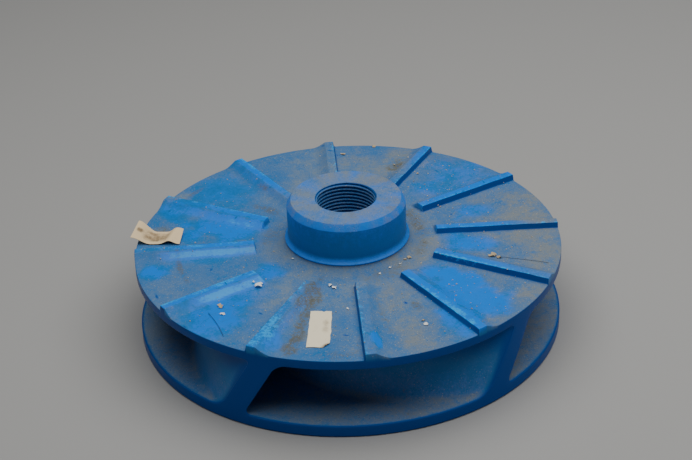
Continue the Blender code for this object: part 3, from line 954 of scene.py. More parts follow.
hub_angles = np.linspace(0, math.tau, HUB_SPOKES, endpoint=False)
thread_angles = np.append(hub_angles, math.tau)
row_drop = THREAD_PITCH / THREAD_ROWS
row_count = round((THREAD_TOP - RELIEF_TOP) / row_drop) + THREAD_ROWS
thread_rows = []
for row in range(row_count + 1):
    along_helix = THREAD_TOP + THREAD_PITCH * thread_angles / math.tau - row * row_drop
    height = np.clip(along_helix, RELIEF_TOP, THREAD_TOP)
    thread_rows.append(to_space(thread_radius(thread_angles, height), thread_angles, height))
thread_grid = np.array(thread_rows)
bore_outline = [
    (RELIEF_RADIUS, RELIEF_TOP), (RELIEF_RADIUS, BORE_BOTTOM + BORE_EDGE),
    (RELIEF_RADIUS - BORE_EDGE, BORE_BOTTOM), (0.0, BORE_BOTTOM),
]
mouth_ring = to_space(thread_radius(hub_angles, THREAD_TOP), hub_angles, np.full(HUB_SPOKES, THREAD_TOP))
hub_grid = np.vstack((turned(hub_line, hub_angles), mouth_ring[None]))
hub_skin = Skin()
hub_skin.add_grid(hub_grid)
hub_skin.add_grid(thread_grid, round_columns=False)
hub_skin.add_grid(turned(bore_outline, hub_angles))
hub_skin.add_grid(turned([(0.0, UNDERSIDE), (SOCKET_RADIUS - SEAT_INSET, UNDERSIDE)], hub_angles))
hub = skin_object("threaded_hub_skin", hub_skin, SHARP_CAST_ANGLE)
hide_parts("threaded_hub")

# %% [markdown]
# The paper label and the paper tag
#
# Two papers lie on the wheel, both blank here. A simulation could drop them, but stiff paper
# hardly gives way. So each is a flat grid of points between four corners, which a formula lifts
# to its height and which is then closed into a thin sheet.

# %% Helpers for sheets of paper
SHARP_PAPER_ANGLE = 60
face_places = back_points[:, :2]


def ground_height(flat):
    """Height of the casting below flat points, from the nearest point of its back face."""
    nearest = [np.argmin(((face_places - place) ** 2).sum(axis=1)) for place in flat]
    return back_points[nearest, 2]


def corner_grid(corners, columns, rows):
    """Points between four corners: top left, top right, bottom right and bottom left."""
    top_left, top_right, low_right, low_left = (np.array(corner) for corner in corners)
    along, down = np.meshgrid(np.linspace(0, 1, columns), np.linspace(0, 1, rows))
    along, down = along.reshape(-1, 1), down.reshape(-1, 1)
    top = top_left * (1 - along) + top_right * along
    low = low_left * (1 - along) + low_right * along
    return top * (1 - down) + low * down, along[:, 0], down[:, 0]


def paper_sheet(name, top, steps, thickness):
    """An object made of a grid of points, the same grid below it and the edge between them."""
    columns, rows = steps
    top = top.reshape(rows, columns, 3)
    drop = (0, 0, thickness)
    sheet = Skin()
    sheet.add_grid(top, round_columns=False)
    sheet.add_grid(top - drop, round_columns=False)
    edge = np.vstack((top[0], top[1:, -1], top[-1, -2::-1], top[-2:0:-1, 0]))
    sheet.add_grid(np.array([edge, edge - drop]))
    return skin_object(name, sheet, SHARP_PAPER_ANGLE)


def level_noise(flat, size, seed):
    """Noise at flat points."""
    return noise_at(np.column_stack((flat, np.zeros(len(flat)))), size, seed)


def spot(along, down, place, stretch, reach):
    """1 near one place of a sheet and 0 away from it; the distance is stretched each way."""
    away = np.hypot((along - place[0]) * stretch[0], (down - place[1]) * stretch[1])
    return soft_step(*reach, away)


print("back face at the front of the rim:", round(ground_height([(0.0, -RIM_RADIUS)])[0], 4))

# %% [markdown]
# The label is glued flat, so its points follow the uneven face below it. Its outline waves a
# little, its upper edge has a nick, and its lower right corner is torn off and stained.

# %% The label
LABEL_CORNERS = [(-0.0610, -0.2122), (-0.0286, -0.2162), (-0.0330, -0.3129), (-0.0688, -0.3102)]
LABEL_STEPS = (26, 48)
LABEL_THICKNESS = 0.0004
LABEL_LIFT = 0.0004
LABEL_LUMPS = 0.0004
SIDE_WAVE = 0.0010
END_WAVE = 0.0012
TORN_CORNER = (1, 1)
TORN_SHIFT = (-0.0050, 0.0040)
TORN_RISE = 0.0012
NICK_PLACE = 0.62
NICK_DEPTH = 0.0022
CORNER_STAIN = 0.9
SIDE_STAIN = 0.5
SIDE_STAIN_PLACE = (0.75, 0.42)

flat, along, down = corner_grid(LABEL_CORNERS, *LABEL_STEPS)
wobble = level_noise(flat, size=0.010, seed=8)
flat[:, 0] += SIDE_WAVE * wobble * soft_step(0.8, 1.0, np.abs(2 * along - 1))
flat[:, 1] += END_WAVE * wobble * soft_step(0.9, 1.0, np.abs(2 * down - 1))
torn = spot(along, down, TORN_CORNER, stretch=(0.9, 2.4), reach=(0.30, 0.0))
flat += np.outer(torn, TORN_SHIFT)
flat[:, 1] -= NICK_DEPTH * soft_step(0.10, 0.0, np.abs(along - NICK_PLACE)) * soft_step(0.06, 0.0, down)
label_height = ground_height(flat) + LABEL_THICKNESS + LABEL_LIFT
label_height += LABEL_LUMPS * (1 + level_noise(flat, size=0.016, seed=9)) + TORN_RISE * torn
label_top = np.column_stack((flat, label_height))
label_stain = CORNER_STAIN * spot(along, down, TORN_CORNER, stretch=(0.7, 2.6), reach=(0.45, 0.1))
beside_stain = np.abs(along - SIDE_STAIN_PLACE[0])
below_stain = np.abs(down - SIDE_STAIN_PLACE[1])
label_stain += SIDE_STAIN * soft_step(0.30, 0.0, beside_stain) * soft_step(0.3, 0.1, below_stain)
label = paper_sheet("label_sheet", label_top, LABEL_STEPS, LABEL_THICKNESS)
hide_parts("paper_label")

# %% [markdown]
# The tag is loose and stiff. Its left end has curled up over the rim, its right part has risen in
# a wave, and its far side stands higher than its near side. So the heights of the curl and of the
# wave are pairs: the height at the near side, and how much more it is at the far side.

# %% The tag
TAG_CORNERS = [(-0.3470, 0.0600), (-0.2730, 0.0500), (-0.2780, 0.0110), (-0.3590, 0.0200)]
TAG_STEPS = (48, 26)
TAG_THICKNESS = 0.0006
TAG_LIFT = 0.0010
TAG_LUMPS = 0.0004
TAG_RIM_MARGIN = 0.004
CURL_HEIGHT = (0.0125, 0.0090)
WAVE_HEIGHT = (0.0062, 0.0022)
WAVE_PLACE = 0.78
WAVE_SLANT = 0.06
WAVE_WIDTH = 0.12
END_RISE = 0.0050
BAND_STAIN = 0.75
LEFT_STAIN = 0.8
LEFT_STAIN_PLACE = (0.10, 0.45)

flat, along, down = corner_grid(TAG_CORNERS, *TAG_STEPS)
far = 1 - down
curl = soft_step(0.40, 0.0, along) * (CURL_HEIGHT[0] + CURL_HEIGHT[1] * far)
from_crest = (along - WAVE_PLACE - WAVE_SLANT * far) / WAVE_WIDTH
wave = np.exp(-(from_crest ** 2)) * (WAVE_HEIGHT[0] + WAVE_HEIGHT[1] * far)
end_lift = END_RISE * soft_step(0.82, 1.0, along) * far
on_face = np.minimum(axis_distance(flat), RIM_RADIUS - TAG_RIM_MARGIN)
tag_height = back_face_height(on_face) + TAG_LIFT + TAG_THICKNESS + curl + wave + end_lift
tag_height += TAG_LUMPS * (1 + level_noise(flat, size=0.020, seed=4))
tag_top = np.column_stack((flat, tag_height))
tag_stain = soft_step(0.08, 0.30, along) * soft_step(0.86, 0.62, along) * soft_step(0.02, 0.3, far)
tag_stain *= BAND_STAIN * soft_step(1.0, 0.75, far)
tag_stain += LEFT_STAIN * spot(along, down, LEFT_STAIN_PLACE, stretch=(1.0, 0.5), reach=(0.10, 0.03))
tag = paper_sheet("tag_sheet", tag_top, TAG_STEPS, TAG_THICKNESS)
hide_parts("paper_tag")

# %% [markdown]
# Scraps and grit
#
# A wheel that has stood in a yard collects bits: torn paper, paint flakes, a splinter of straw, a
# fibre and grit. The larger ones lie where the photograph shows them. Each row below is a place
# in metres and a width in millimetres. A fibre is given by the ends and the handles of its curve.

# %% Places of the scraps
PALE_SCRAPS = [(-0.146, -0.136, 20), (-0.151, -0.129, 10), (-0.139, -0.130, 9), (-0.030, -0.143, 13),
               (-0.023, -0.149, 11), (-0.198, -0.209, 9), (0.049, -0.113, 6), (0.066, -0.096, 7),
               (0.083, -0.085, 6), (0.113, -0.261, 10), (-0.005, -0.210, 6), (-0.089, -0.060, 5)]
TAN_SCRAPS = [(-0.201, -0.188, 15), (0.129, 0.224, 9), (-0.001, 0.313, 10), (0.056, 0.340, 12),
              (0.098, -0.067, 10), (0.092, -0.071, 8), (0.234, -0.069, 16), (0.243, -0.074, 11),
              (0.089, 0.262, 6), (0.160, 0.100, 5), (0.110, -0.250, 8)]
FIBRES = [[(-0.220, -0.204), (-0.208, -0.226), (-0.199, -0.250), (-0.194, -0.270)],
          [(0.240, -0.071), (0.266, -0.079), (0.294, -0.086), (0.320, -0.095)]]
print("scraps placed by hand:", len(PALE_SCRAPS) + len(TAN_SCRAPS), "and fibres:", len(FIBRES))

# %% [markdown]
# A scrap is a crumpled star with a random outline, a grain is an uneven octahedron, and a fibre
# is a bent strand. Their chance comes from one generator with a fixed seed, so that each run
# makes the same pieces.

# %% Helpers for small pieces
MILLIMETRE = 0.001
SCRAP_CORNERS = 9
SCRAP_TURN = 0.5
SCRAP_REACH = (0.25, 1.15)
SCRAP_DEPTH_SHARE = 0.8
SCRAP_LIFT = 0.0003
SCRAP_PEAK = 0.0014
SCRAP_LEAST_RISE = 0.0005
SCRAP_RISE_SHARE = 0.0003
GRAIN_LIFT_SHARE = 0.3
GRAIN_REACH = (0.6, 1.0)
FIBRE_WIDTH = 0.0007
FIBRE_LIFT = 0.0012
FIBRE_SLANT = 0.3
FIBRE_STEPS = 12
scrap_dice = np.random.default_rng(5)


def scrap(east, north, size):
    """A crumpled flake: a fan of triangles over a random outline, closed below."""
    corners = SCRAP_CORNERS
    turn = np.linspace(0, math.tau, corners, endpoint=False) + scrap_dice.uniform(0, SCRAP_TURN, corners)
    reach = size * MILLIMETRE / 2 * scrap_dice.uniform(*SCRAP_REACH, corners)
    offsets = np.column_stack((reach * np.cos(turn), SCRAP_DEPTH_SHARE * reach * np.sin(turn)))
    base = ground_height([(east, north)])[0] + SCRAP_LIFT
    rise = scrap_dice.uniform(SCRAP_LEAST_RISE, SCRAP_RISE_SHARE * size, corners)
    outline = np.column_stack(((east, north) + offsets, base + rise))
    points = np.vstack((outline, (east, north, base + SCRAP_PEAK), (east, north, base)))
    faces = [(corner, (corner + 1) % corners, corners) for corner in range(corners)]
    return points, faces + [(after, corner, corners + 1) for corner, after, _ in faces]


def grain(east, north, size):
    """A grain of grit: an octahedron with uneven corners."""
    middle = (east, north, ground_height([(east, north)])[0] + GRAIN_LIFT_SHARE * size)
    reach = scrap_dice.uniform(*GRAIN_REACH, (6, 1))
    points = middle + np.vstack((np.eye(3), -np.eye(3))) * reach * size
    sides = [(0, 1), (1, 3), (3, 4), (4, 0)]
    return points, [(*side, 2) for side in sides] + [(side[1], side[0], 5) for side in sides]


def fibre(line):
    """A thin bent strand along a curve of flat points, with a diamond section."""
    line = bezier(*line, FIBRE_STEPS)
    spread = FIBRE_WIDTH / 2
    height = ground_height(line) + FIBRE_LIFT
    sections = []
    for aside, lift in ((-spread, 0), (0, spread), (spread, 0), (0, -spread)):
        moved = line + (aside, FIBRE_SLANT * aside)
        sections.append(np.column_stack((moved, height + lift)))
    points = np.array(sections).transpose(1, 0, 2).reshape(-1, 3)
    faces = [(0, 1, 2, 3), tuple(len(points) - step for step in (1, 2, 3, 4))]
    for row in range(len(line) - 1):
        for side in range(4):
            near, beside = row * 4 + side, row * 4 + (side + 1) % 4
            faces.append((near, near + 4, beside + 4, beside))
    return points, faces


print("a fibre of", FIBRE_STEPS, "steps has", len(fibre(FIBRES[0])[0]), "points")

# %% [markdown]
# Pieces of one kind are joined into one object, which keeps the scene light. The grit is drawn
# evenly over the face, and draws on the left are mostly thrown away again, so that it lies
# thicker on the dusty right side.

# %% Make the scraps and scatter the grit
SHARP_SCRAP_ANGLE = 20
GRIT_COUNT = 900
GRIT_SIZE = (0.0006, 0.0020)
GRIT_REACH = 0.97
GRIT_INNER_SHARE = 0.11
GRIT_LEFT_SHARE = 0.30


def joined(name, pieces):
    """Join small pieces into one object."""
    skin = Skin()
    for points, faces in pieces:
        skin.add_faces(points, faces)
    thing = skin_object(name, skin, SHARP_SCRAP_ANGLE)
    return thing


grit = []
while len(grit) < GRIT_COUNT:
    radius = RIM_RADIUS * GRIT_REACH * math.sqrt(scrap_dice.uniform(GRIT_INNER_SHARE, 1))
    angle = scrap_dice.uniform(-math.pi, math.pi)
    if scrap_dice.uniform() < GRIT_LEFT_SHARE + (1 - GRIT_LEFT_SHARE) * math.cos(angle / 2) ** 2:
        size = GRIT_SIZE[0] + (GRIT_SIZE[1] - GRIT_SIZE[0]) * scrap_dice.uniform() ** 3
        grit.append(grain(radius * math.cos(angle), radius * math.sin(angle), size))
pale_scraps = joined("pale_scraps", [scrap(*row) for row in PALE_SCRAPS])
tan_scraps = joined("tan_scraps", [scrap(*row) for row in TAN_SCRAPS])
fibres = joined("fibres", [fibre(line) for line in FIBRES])
grit_grains = joined("grit_grains", grit)

# %% [markdown]
# Where the paint is clean and where it is dirty
#
# Wear follows use. The raised vanes get rubbed, so their tops show bright paint, and paint chips
# off their edges. Dust settles on the level parts, and dirt gathers in corners where it isn't
# disturbed. The patches are places in the photograph, one to a row: angle in degrees, radius,
# length, breadth, amount. Each back vane also has its own brightness at three radii.

# %% Places of wear
SHINE_RADII = (0.165, 0.235, 0.315)
VANE_SHINE = [(1.0, 1.0, 0.2), (0.9, 1.0, 0.9), (0.3, 0.2, 0.9), (0.0, 0.0, 0.1),
              (0.3, 1.0, 1.1), (1.0, 0.9, 0.2), (1.0, 1.0, 0.3), (1.0, 1.0, 0.9),
              (0.2, 0.4, 0.6), (0.15, 0.15, 0.25), (1.0, 1.0, 1.0), (0.9, 1.0, 0.5)]
# Painted sheen: how much lighter each back vane's slope is painted, as if it reflected the light.
SLOPE_SHEEN = [0.0, 0.0, 0.0, 0.0, 0.0, 0.5, 1.0, 0.9, 0.3, 0.0, 0.0, 0.0]
BRIGHT = [(-39, 0.200, 0.10, 0.070, 0.9), (-45, 0.260, 0.12, 0.100, 1.0), (-44, 0.305, 0.06, 0.110, 0.6),
          (-58, 0.310, 0.08, 0.070, 0.7), (-8, 0.200, 0.10, 0.060, 0.8), (21, 0.228, 0.08, 0.050, 0.6),
          (47, 0.300, 0.14, 0.160, 0.45), (48, 0.210, 0.10, 0.080, 0.3), (156, 0.320, 0.07, 0.060, 0.6),
          (165, 0.215, 0.14, 0.070, 0.9), (172, 0.270, 0.06, 0.050, 0.5), (-167, 0.325, 0.05, 0.045, 1.1),
          (-172, 0.240, 0.14, 0.040, 0.3), (-145, 0.155, 0.05, 0.050, 0.6), (-134, 0.310, 0.10, 0.130, 0.7),
          (-137, 0.230, 0.12, 0.080, 0.5), (-83, 0.309, 0.04, 0.012, 1.8), (138, 0.290, 0.14, 0.120, 0.35),
          (-113, 0.322, 0.06, 0.040, 0.6)]
DUST = [(8, 0.315, 0.10, 0.170, 0.4), (-12, 0.330, 0.07, 0.090, 0.4), (22, 0.320, 0.08, 0.090, 0.4),
        (-33, 0.335, 0.05, 0.070, 0.4), (70, 0.280, 0.12, 0.080, 0.4), (85, 0.240, 0.16, 0.080, 0.3),
        (-104, 0.250, 0.14, 0.070, 0.4), (-94, 0.180, 0.09, 0.090, 0.4), (-72, 0.260, 0.16, 0.070, 0.4),
        (-66, 0.200, 0.10, 0.070, 0.3), (-126, 0.200, 0.08, 0.060, 0.4), (150, 0.335, 0.03, 0.060, 0.6),
        (172, 0.325, 0.05, 0.050, 0.5), (40, 0.160, 0.08, 0.090, 0.3), (-15, 0.140, 0.06, 0.100, 0.3),
        (100, 0.280, 0.14, 0.110, 0.35), (112, 0.200, 0.10, 0.060, 0.25), (-2, 0.270, 0.12, 0.050, 0.25),
        (10, 0.255, 0.10, 0.050, 0.20)]
DIRT = [(-111, 0.180, 0.15, 0.015, 1.0), (-107, 0.250, 0.18, 0.020, 1.0), (-106, 0.315, 0.09, 0.024, 1.0),
        (-109, 0.235, 0.20, 0.040, 0.3),
        (-78, 0.250, 0.20, 0.016, 0.5), (33, 0.130, 0.04, 0.080, 0.8), (12, 0.125, 0.04, 0.090, 0.7),
        (-18, 0.125, 0.03, 0.080, 0.5), (139, 0.175, 0.09, 0.024, 0.7), (167, 0.130, 0.04, 0.070, 0.5),
        (127, 0.235, 0.05, 0.014, 0.7), (-64, 0.232, 0.03, 0.018, 1.0), (71, 0.277, 0.06, 0.035, 1.0),
        (143, 0.325, 0.012, 0.060, 0.7), (-166, 0.280, 0.012, 0.120, 0.7), (-60, 0.130, 0.05, 0.110, 0.5),
        (-93, 0.335, 0.03, 0.110, 0.5), (60, 0.330, 0.03, 0.120, 0.4), (100, 0.215, 0.05, 0.040, 0.5),
        (-22, 0.270, 0.16, 0.008, 0.7), (168, 0.320, 0.05, 0.030, 0.6), (26, 0.250, 0.16, 0.010, 0.5)]
CHIPS = [(-115, 0.325, 0.06, 0.034, 1.0), (-114, 0.280, 0.07, 0.026, 0.8), (-148, 0.300, 0.09, 0.016, 1.0),
         (-147, 0.240, 0.10, 0.018, 0.9), (-146, 0.180, 0.06, 0.024, 0.9), (121, 0.310, 0.10, 0.020, 1.0),
         (119, 0.260, 0.08, 0.016, 0.9), (-27, 0.205, 0.13, 0.014, 0.9), (150, 0.225, 0.12, 0.012, 0.8),
         (-56, 0.280, 0.12, 0.012, 0.9), (-176, 0.260, 0.20, 0.006, 0.6)]
print("patches:", len(BRIGHT), "bright,", len(DUST), "dusty,", len(DIRT), "dirty,", len(CHIPS), "chipped")

# %% [markdown]
# On a back vane, the step of the grid's section tells the steep side from its edge and the top.
# That is more exact than a patch could be. A patch has a soft outline that noise makes ragged.

# %% Patches and the parts of a vane
STEEP_STEPS = (2, 4, 6, 8)
EDGE_STEPS = (6, 8, 10, 12)
TOP_STEPS = (6, 7, 11, 13)
STEEP_END_HEIGHT = 0.0080
SLOPE_FOOT = (0.0004, 0.0030)
SLOPE_TOP = (0.0100, 0.0085)
SLOPE_END = (0.320, 0.285)
PATCH_EDGE = (1.4, 0.3)
PATCH_NOISES = [(0.45, 0.026, 50), (0.20, 0.009, 51)]
FLANK_SHINE = 0.35


def patches(points, rows):
    """Sum of soft patches with ragged outlines on the back face."""
    radius = axis_distance(points)
    angle = np.arctan2(points[:, 1], points[:, 0])
    total = np.zeros(len(points))
    ragged = sum(strength * noise_at(points, size, seed) for strength, size, seed in PATCH_NOISES)
    for degrees, centre, length, breadth, amount in rows:
        aside = half_turn(angle - math.radians(degrees))
        distance = np.hypot((radius - centre) / length, radius * aside / breadth) * 2
        total += amount * soft_step(*PATCH_EDGE, distance + ragged)
    return total


def vane_masks():
    """How far each point belongs to a vane's steep side, to its edge and to its top."""
    step_of_point = np.tile(spoke_step, len(rings))
    end_share = np.repeat(rings[:, 2], len(spoke_vane))
    steep, edge, top = [
        np.interp(step_of_point, steps, (0, 1, 1, 0)) * end_share
        for steps in (STEEP_STEPS, EDGE_STEPS, TOP_STEPS)
    ]
    high = np.tile(spoke_height > STEEP_END_HEIGHT, len(rings))
    return np.maximum(steep, 4 * end_share * (1 - end_share) * high), edge, top


def vane_shine(radius, raised, top):
    """How bright each point of the back vanes is rubbed, most of all on their tops."""
    vane_of_point = np.tile(spoke_vane, len(rings))
    shine = np.zeros(len(radius))
    for vane, amounts in enumerate(VANE_SHINE):
        own = vane_of_point == vane
        shine[own] = np.interp(radius[own], SHINE_RADII, amounts)
    return shine * (FLANK_SHINE * raised + (1 - FLANK_SHINE) * top)


def lit_slopes(radius):
    """Painted sheen: the slopes of the back vanes that are painted lighter, each by its own amount, as if
    they reflected the overhead light.
    """
    lightness = np.tile(np.array(SLOPE_SHEEN)[spoke_vane], len(rings))
    slope = soft_step(*SLOPE_FOOT, above_face) * soft_step(*SLOPE_TOP, above_face)
    return slope * (lightness * soft_step(*SLOPE_END, radius))


steep_share, edge_share, top_share = vane_masks()
print("points on steep sides:", np.count_nonzero(steep_share), "and on tops:", np.count_nonzero(top_share))

# %% [markdown]
# The top of a vane is rubbed bright and its edge chips. Its steep side is nearly free of dust and
# is painted deep blue as shade, and some of the slopes are painted lighter as sheen. Elsewhere
# there is an even film of dust, thicker at the hub and on the right, which the patches thicken or clear.

# %% Wear of the back face
RAISED_RANGE = (0.0010, 0.0050)
LEVEL_DUST = 0.50
CLOUDY_DUST = 0.16
HUB_DUST = 0.30
HUB_DUST_RADII = (0.170, 0.115)
RIGHT_HAND_DUST = 0.12
RIGHT_HAND_PLACES = (-0.05, 0.25)
RUBBED_OFF = 0.85
PATCH_RUBBED_OFF = 0.65
STEEP_CLEAN = 0.9
# Painted shade: the steep sides and inner ends of the back vanes are darkened towards deep blue.
STEEP_PAINTED_SHADE = 0.85
BRIGHT_LIMIT = 0.95
LEAST_BRIGHT = 0.17
RUBBED_BRIGHT = 0.48
# Painted sheen: how much the sloping sides of some vanes are lightened.
PAINTED_SHEEN_BRIGHT = 0.60
PATCH_CHIPS = 0.8
LEVEL_CHIP_SHARE = 0.35
EDGE_CHIPS = 0.75
RIM_FADE = (0.0012, 0.0002)


def back_wear():
    """Dust, dirt, brightness and chips for each point of the back face; the brightness holds painted shade
    on the steep sides and painted sheen on some slopes.
    """
    points = back_points
    radius = axis_distance(points)
    raised = soft_step(*RAISED_RANGE, above_face)
    shine = vane_shine(radius, raised, top_share)
    rubbed = np.minimum(patches(points, BRIGHT), BRIGHT_LIMIT)
    dust = LEVEL_DUST + CLOUDY_DUST * noise_at(points, size=0.080, seed=20)
    dust += HUB_DUST * soft_step(*HUB_DUST_RADII, radius)
    dust += RIGHT_HAND_DUST * soft_step(*RIGHT_HAND_PLACES, points[:, 0]) + patches(points, DUST)
    dust = dust * (1 - RUBBED_OFF * np.clip(shine, 0, 1)) - PATCH_RUBBED_OFF * rubbed
    bright = LEAST_BRIGHT + RUBBED_BRIGHT * np.maximum(shine, rubbed) + PAINTED_SHEEN_BRIGHT * lit_slopes(radius)
    chips = PATCH_CHIPS * patches(points, CHIPS) * (LEVEL_CHIP_SHARE + (1 - LEVEL_CHIP_SHARE) * raised)
    on_face = soft_step(RIM_HEIGHT - RIM_FADE[0], RIM_HEIGHT - RIM_FADE[1], points[:, 2])
    amounts = (
        dust * (1 - STEEP_CLEAN * steep_share), patches(points, DIRT),
        # painted shade: brightness is cut on the steep sides
        bright * (1 - STEEP_PAINTED_SHADE * steep_share), chips + EDGE_CHIPS * edge_share,
    )
    return np.column_stack(amounts) * on_face[:, None]


back_amounts = back_wear()
print("mean dust, dirt, brightness and chips of the back face:", back_amounts.mean(axis=0).round(3))

# %% [markdown]
# Inside the channels, dust lies on the floors and hardly holds on the leaning vanes, and the
# linings are painted darker towards the ceiling as shade under the back shroud. The hub's top is
# dusty and mottled, its chamfer and flare are less dusty and painted lighter as highlights, its
# outer faces are painted lighter as light reflected from the face below, and dust and a painted
# highlight sit on the thread's crests.

# %% Wear of the channels and the hub
LINING_FADE = (0.0008, 0.0035)
FLOOR_REACH = (0.012, 0.001)
WALL_MARGINS = (0.010, 0.020)
LINING_DUST = {"least": 0.10, "low": 0.30, "floor": 0.50, "cloudy": 0.15}
LINING_DIRT = 0.50
LINING_BRIGHT = {"least": 0.05, "low": 0.25}
HUB_DUSTS = {"top": 0.72, "chamfer": 0.35, "low": 0.25, "crest": 0.6, "mottle": 0.60}
HUB_DIRT = 0.5
TOP_FADE = (0.0009, 0.0002)
CHAMFER_FADE = 0.0008
MOUTH_MARGIN = 0.0004
FLARE_MARGIN = 0.002
CREST_FADE = 0.0005
# Painted light on the hub: the chamfer, the low flare and the thread's crests get painted highlights, and
# the outer faces are lightened as light reflected from the face below; the top and its mottle are the
# paint's own tone.
HUB_BRIGHTS = {"top": 0.32, "mottle": 0.30, "chamfer": 0.55, "low": 0.45, "crest": 0.25, "outside": 0.14}


def inner_wear(points):
    """Dust on the channels' linings, thick on the floors and thin on the vanes, with painted shade: dust
    and brightness fall off towards the ceiling.
    """
    radius = axis_distance(points)
    inward = soft_step(RIM_RADIUS - LINING_FADE[0], RIM_RADIUS - LINING_FADE[1], radius)
    floor_share = soft_step(FLOW_FLOOR + FLOOR_REACH[0], FLOW_FLOOR + FLOOR_REACH[1], points[:, 2])
    # Painted shade: dust and brightness fall off towards the ceiling, so the upper linings under the back
    # shroud's overhang are darker.
    low = soft_step(FLOW_CEILING - WALL_MARGINS[0], FLOW_FLOOR + WALL_MARGINS[1], points[:, 2])
    dust = LINING_DUST["least"] + LINING_DUST["low"] * low + LINING_DUST["floor"] * floor_share
    dust += LINING_DUST["cloudy"] * noise_at(points, size=0.040, seed=30)
    dirt = LINING_DIRT * soft_step(0.20, 0.70, noise_at(points, size=0.025, seed=31))
    bright = LINING_BRIGHT["least"] + LINING_BRIGHT["low"] * low
    return np.column_stack((dust, dirt, bright, 0 * dust)) * inward[:, None]


def hub_wear(points):
    """A dusty top, a less dusty chamfer and flare with painted highlights, dust and a painted highlight on
    the thread's crests, and painted reflected light on the outer faces.
    """
    radius, height = axis_distance(points), points[:, 2]
    outside = radius > MOUTH_RADIUS - MOUTH_MARGIN
    top = soft_step(HUB_TOP - TOP_FADE[0], HUB_TOP - TOP_FADE[1], height) * outside
    chamfer_foot = HUB_TOP - CHAMFER_HEIGHT
    chamfer = soft_step(chamfer_foot - CHAMFER_FADE, chamfer_foot, height) * outside * (1 - top)
    low = soft_step(FLARE_TOP, RING_TOP + FLARE_MARGIN, height) * outside
    threaded = (height > RELIEF_TOP) * (height < THREAD_TOP)
    crest = soft_step(THREAD_ROOT - CREST_FADE, THREAD_CREST, radius) * threaded
    mottle = noise_at(points, size=0.020, seed=40)
    dust = top * (HUB_DUSTS["top"] + HUB_DUSTS["mottle"] * mottle)
    dust += chamfer * (HUB_DUSTS["chamfer"] + HUB_DUSTS["mottle"] * mottle)
    # the top's mottled tone, and a painted highlight on the chamfer
    bright = (HUB_BRIGHTS["top"] - HUB_BRIGHTS["mottle"] * mottle) * top + HUB_BRIGHTS["chamfer"] * chamfer
    # painted highlights on the low flare and on the thread's crests
    for place, share in (("low", low), ("crest", crest)):
        dust += HUB_DUSTS[place] * share
        bright += HUB_BRIGHTS[place] * share
    # painted reflected light on all outer faces of the hub
    bright += HUB_BRIGHTS["outside"] * outside
    dirt = top * HUB_DIRT * soft_step(0.0, 0.6, noise_at(points, size=0.018, seed=41))
    return np.column_stack((dust, dirt, bright, 0 * dust))


lining_points = np.vstack([grid.reshape(-1, 3) for grid in channel_grids])
lining_amounts = inner_wear(lining_points)
hub_points = np.vstack((hub_grid.reshape(-1, 3), thread_grid.reshape(-1, 3)))
hub_amounts = hub_wear(hub_points)
print("points of the linings:", len(lining_points), "points of the hub:", len(hub_points))

# %% [markdown]
# The amounts are now stored on the objects as a colour attribute, which the paint reads: red is
# dust, green is dirt, blue is brightness and alpha is chips. Merging has changed the order of the
# points, so each is found again by its position. On the papers, red is the stain.

# %% Store the amounts on the objects
PLACE_DIGITS = 5


def store_wear(thing, points, amounts):
    """Store amounts on an object's points, found by position; the rest keeps zero."""
    rounded_points = np.round(points, PLACE_DIGITS)
    lookup = {tuple(place): amount for place, amount in zip(rounded_points, np.clip(amounts, 0, 1))}
    places = np.zeros(len(thing.data.vertices) * 3)
    thing.data.vertices.foreach_get("co", places)
    places = np.round(places.astype(np.float32).astype(float).reshape(-1, 3), PLACE_DIGITS)
    values = np.array([lookup.get(tuple(place), (0.0, 0.0, 0.0, 0.0)) for place in places])
    attribute = thing.data.color_attributes.new("wear", "FLOAT_COLOR", "POINT")
    attribute.data.foreach_set("color", values.ravel())
    print(thing.name, "points with wear:", np.count_nonzero(values.sum(axis=1)), "of", len(values))


def stain_amounts(stain):
    """The stain as the first of four amounts."""
    return np.column_stack((stain, np.zeros((len(stain), 3))))


store_wear(casting, np.vstack((back_points, lining_points)), np.vstack((back_amounts, lining_amounts)))
store_wear(hub, hub_points, hub_amounts)
store_wear(label, label_top, stain_amounts(label_stain))
store_wear(tag, tag_top, stain_amounts(tag_stain))

# %% [markdown]
# Building materials from nodes
#
# All finishes are procedural. These helpers keep the node code short: one adds a node and wires
# it, one gives noise centred on zero, and one breaks a stored amount up with noise and turns it
# into a mask. The noise is multiplied by the amount, so spotless paint stays spotless.

# %% Node helpers
NOISE_GAIN = 4.0
NOISE_SHIFT = -2.0


def new_tree(name):
    """A new material, its node tree and its shader."""
    material = bpy.data.materials.new(name)
    material.use_nodes = True
    tree = material.node_tree
    return material, tree, tree.nodes["Principled BSDF"]


def wire(tree, node, inputs):
    """Set a node's sockets, each to a value or to another node's socket."""
    for key, value in inputs.items():
        if isinstance(value, bpy.types.NodeSocket):
            tree.links.new(value, node.inputs[key])
        else:
            node.inputs[key].default_value = value


def add_node(tree, kind, inputs, **settings):
    """Add a node; inputs maps a socket's name or number to a value or to another node's socket."""
    node = tree.nodes.new(kind)
    for key, value in settings.items():
        setattr(node, key, value)
    wire(tree, node, inputs)
    return node


def sums(tree, operation, first, second, third=0.0):
    """One step of arithmetic."""
    inputs = {0: first, 1: second, 2: third}
    return add_node(tree, "ShaderNodeMath", inputs, operation=operation).outputs[0]


def noise_field(tree, place, scale, detail=5.0, roughness=0.6, distortion=0.0):
    """Noise that mostly stays between -1 and 1."""
    shape = {"Scale": scale, "Detail": detail, "Roughness": roughness, "Distortion": distortion}
    raw = add_node(tree, "ShaderNodeTexNoise", {"Vector": place, **shape}).outputs["Fac"]
    return sums(tree, "MULTIPLY_ADD", raw, NOISE_GAIN, NOISE_SHIFT)


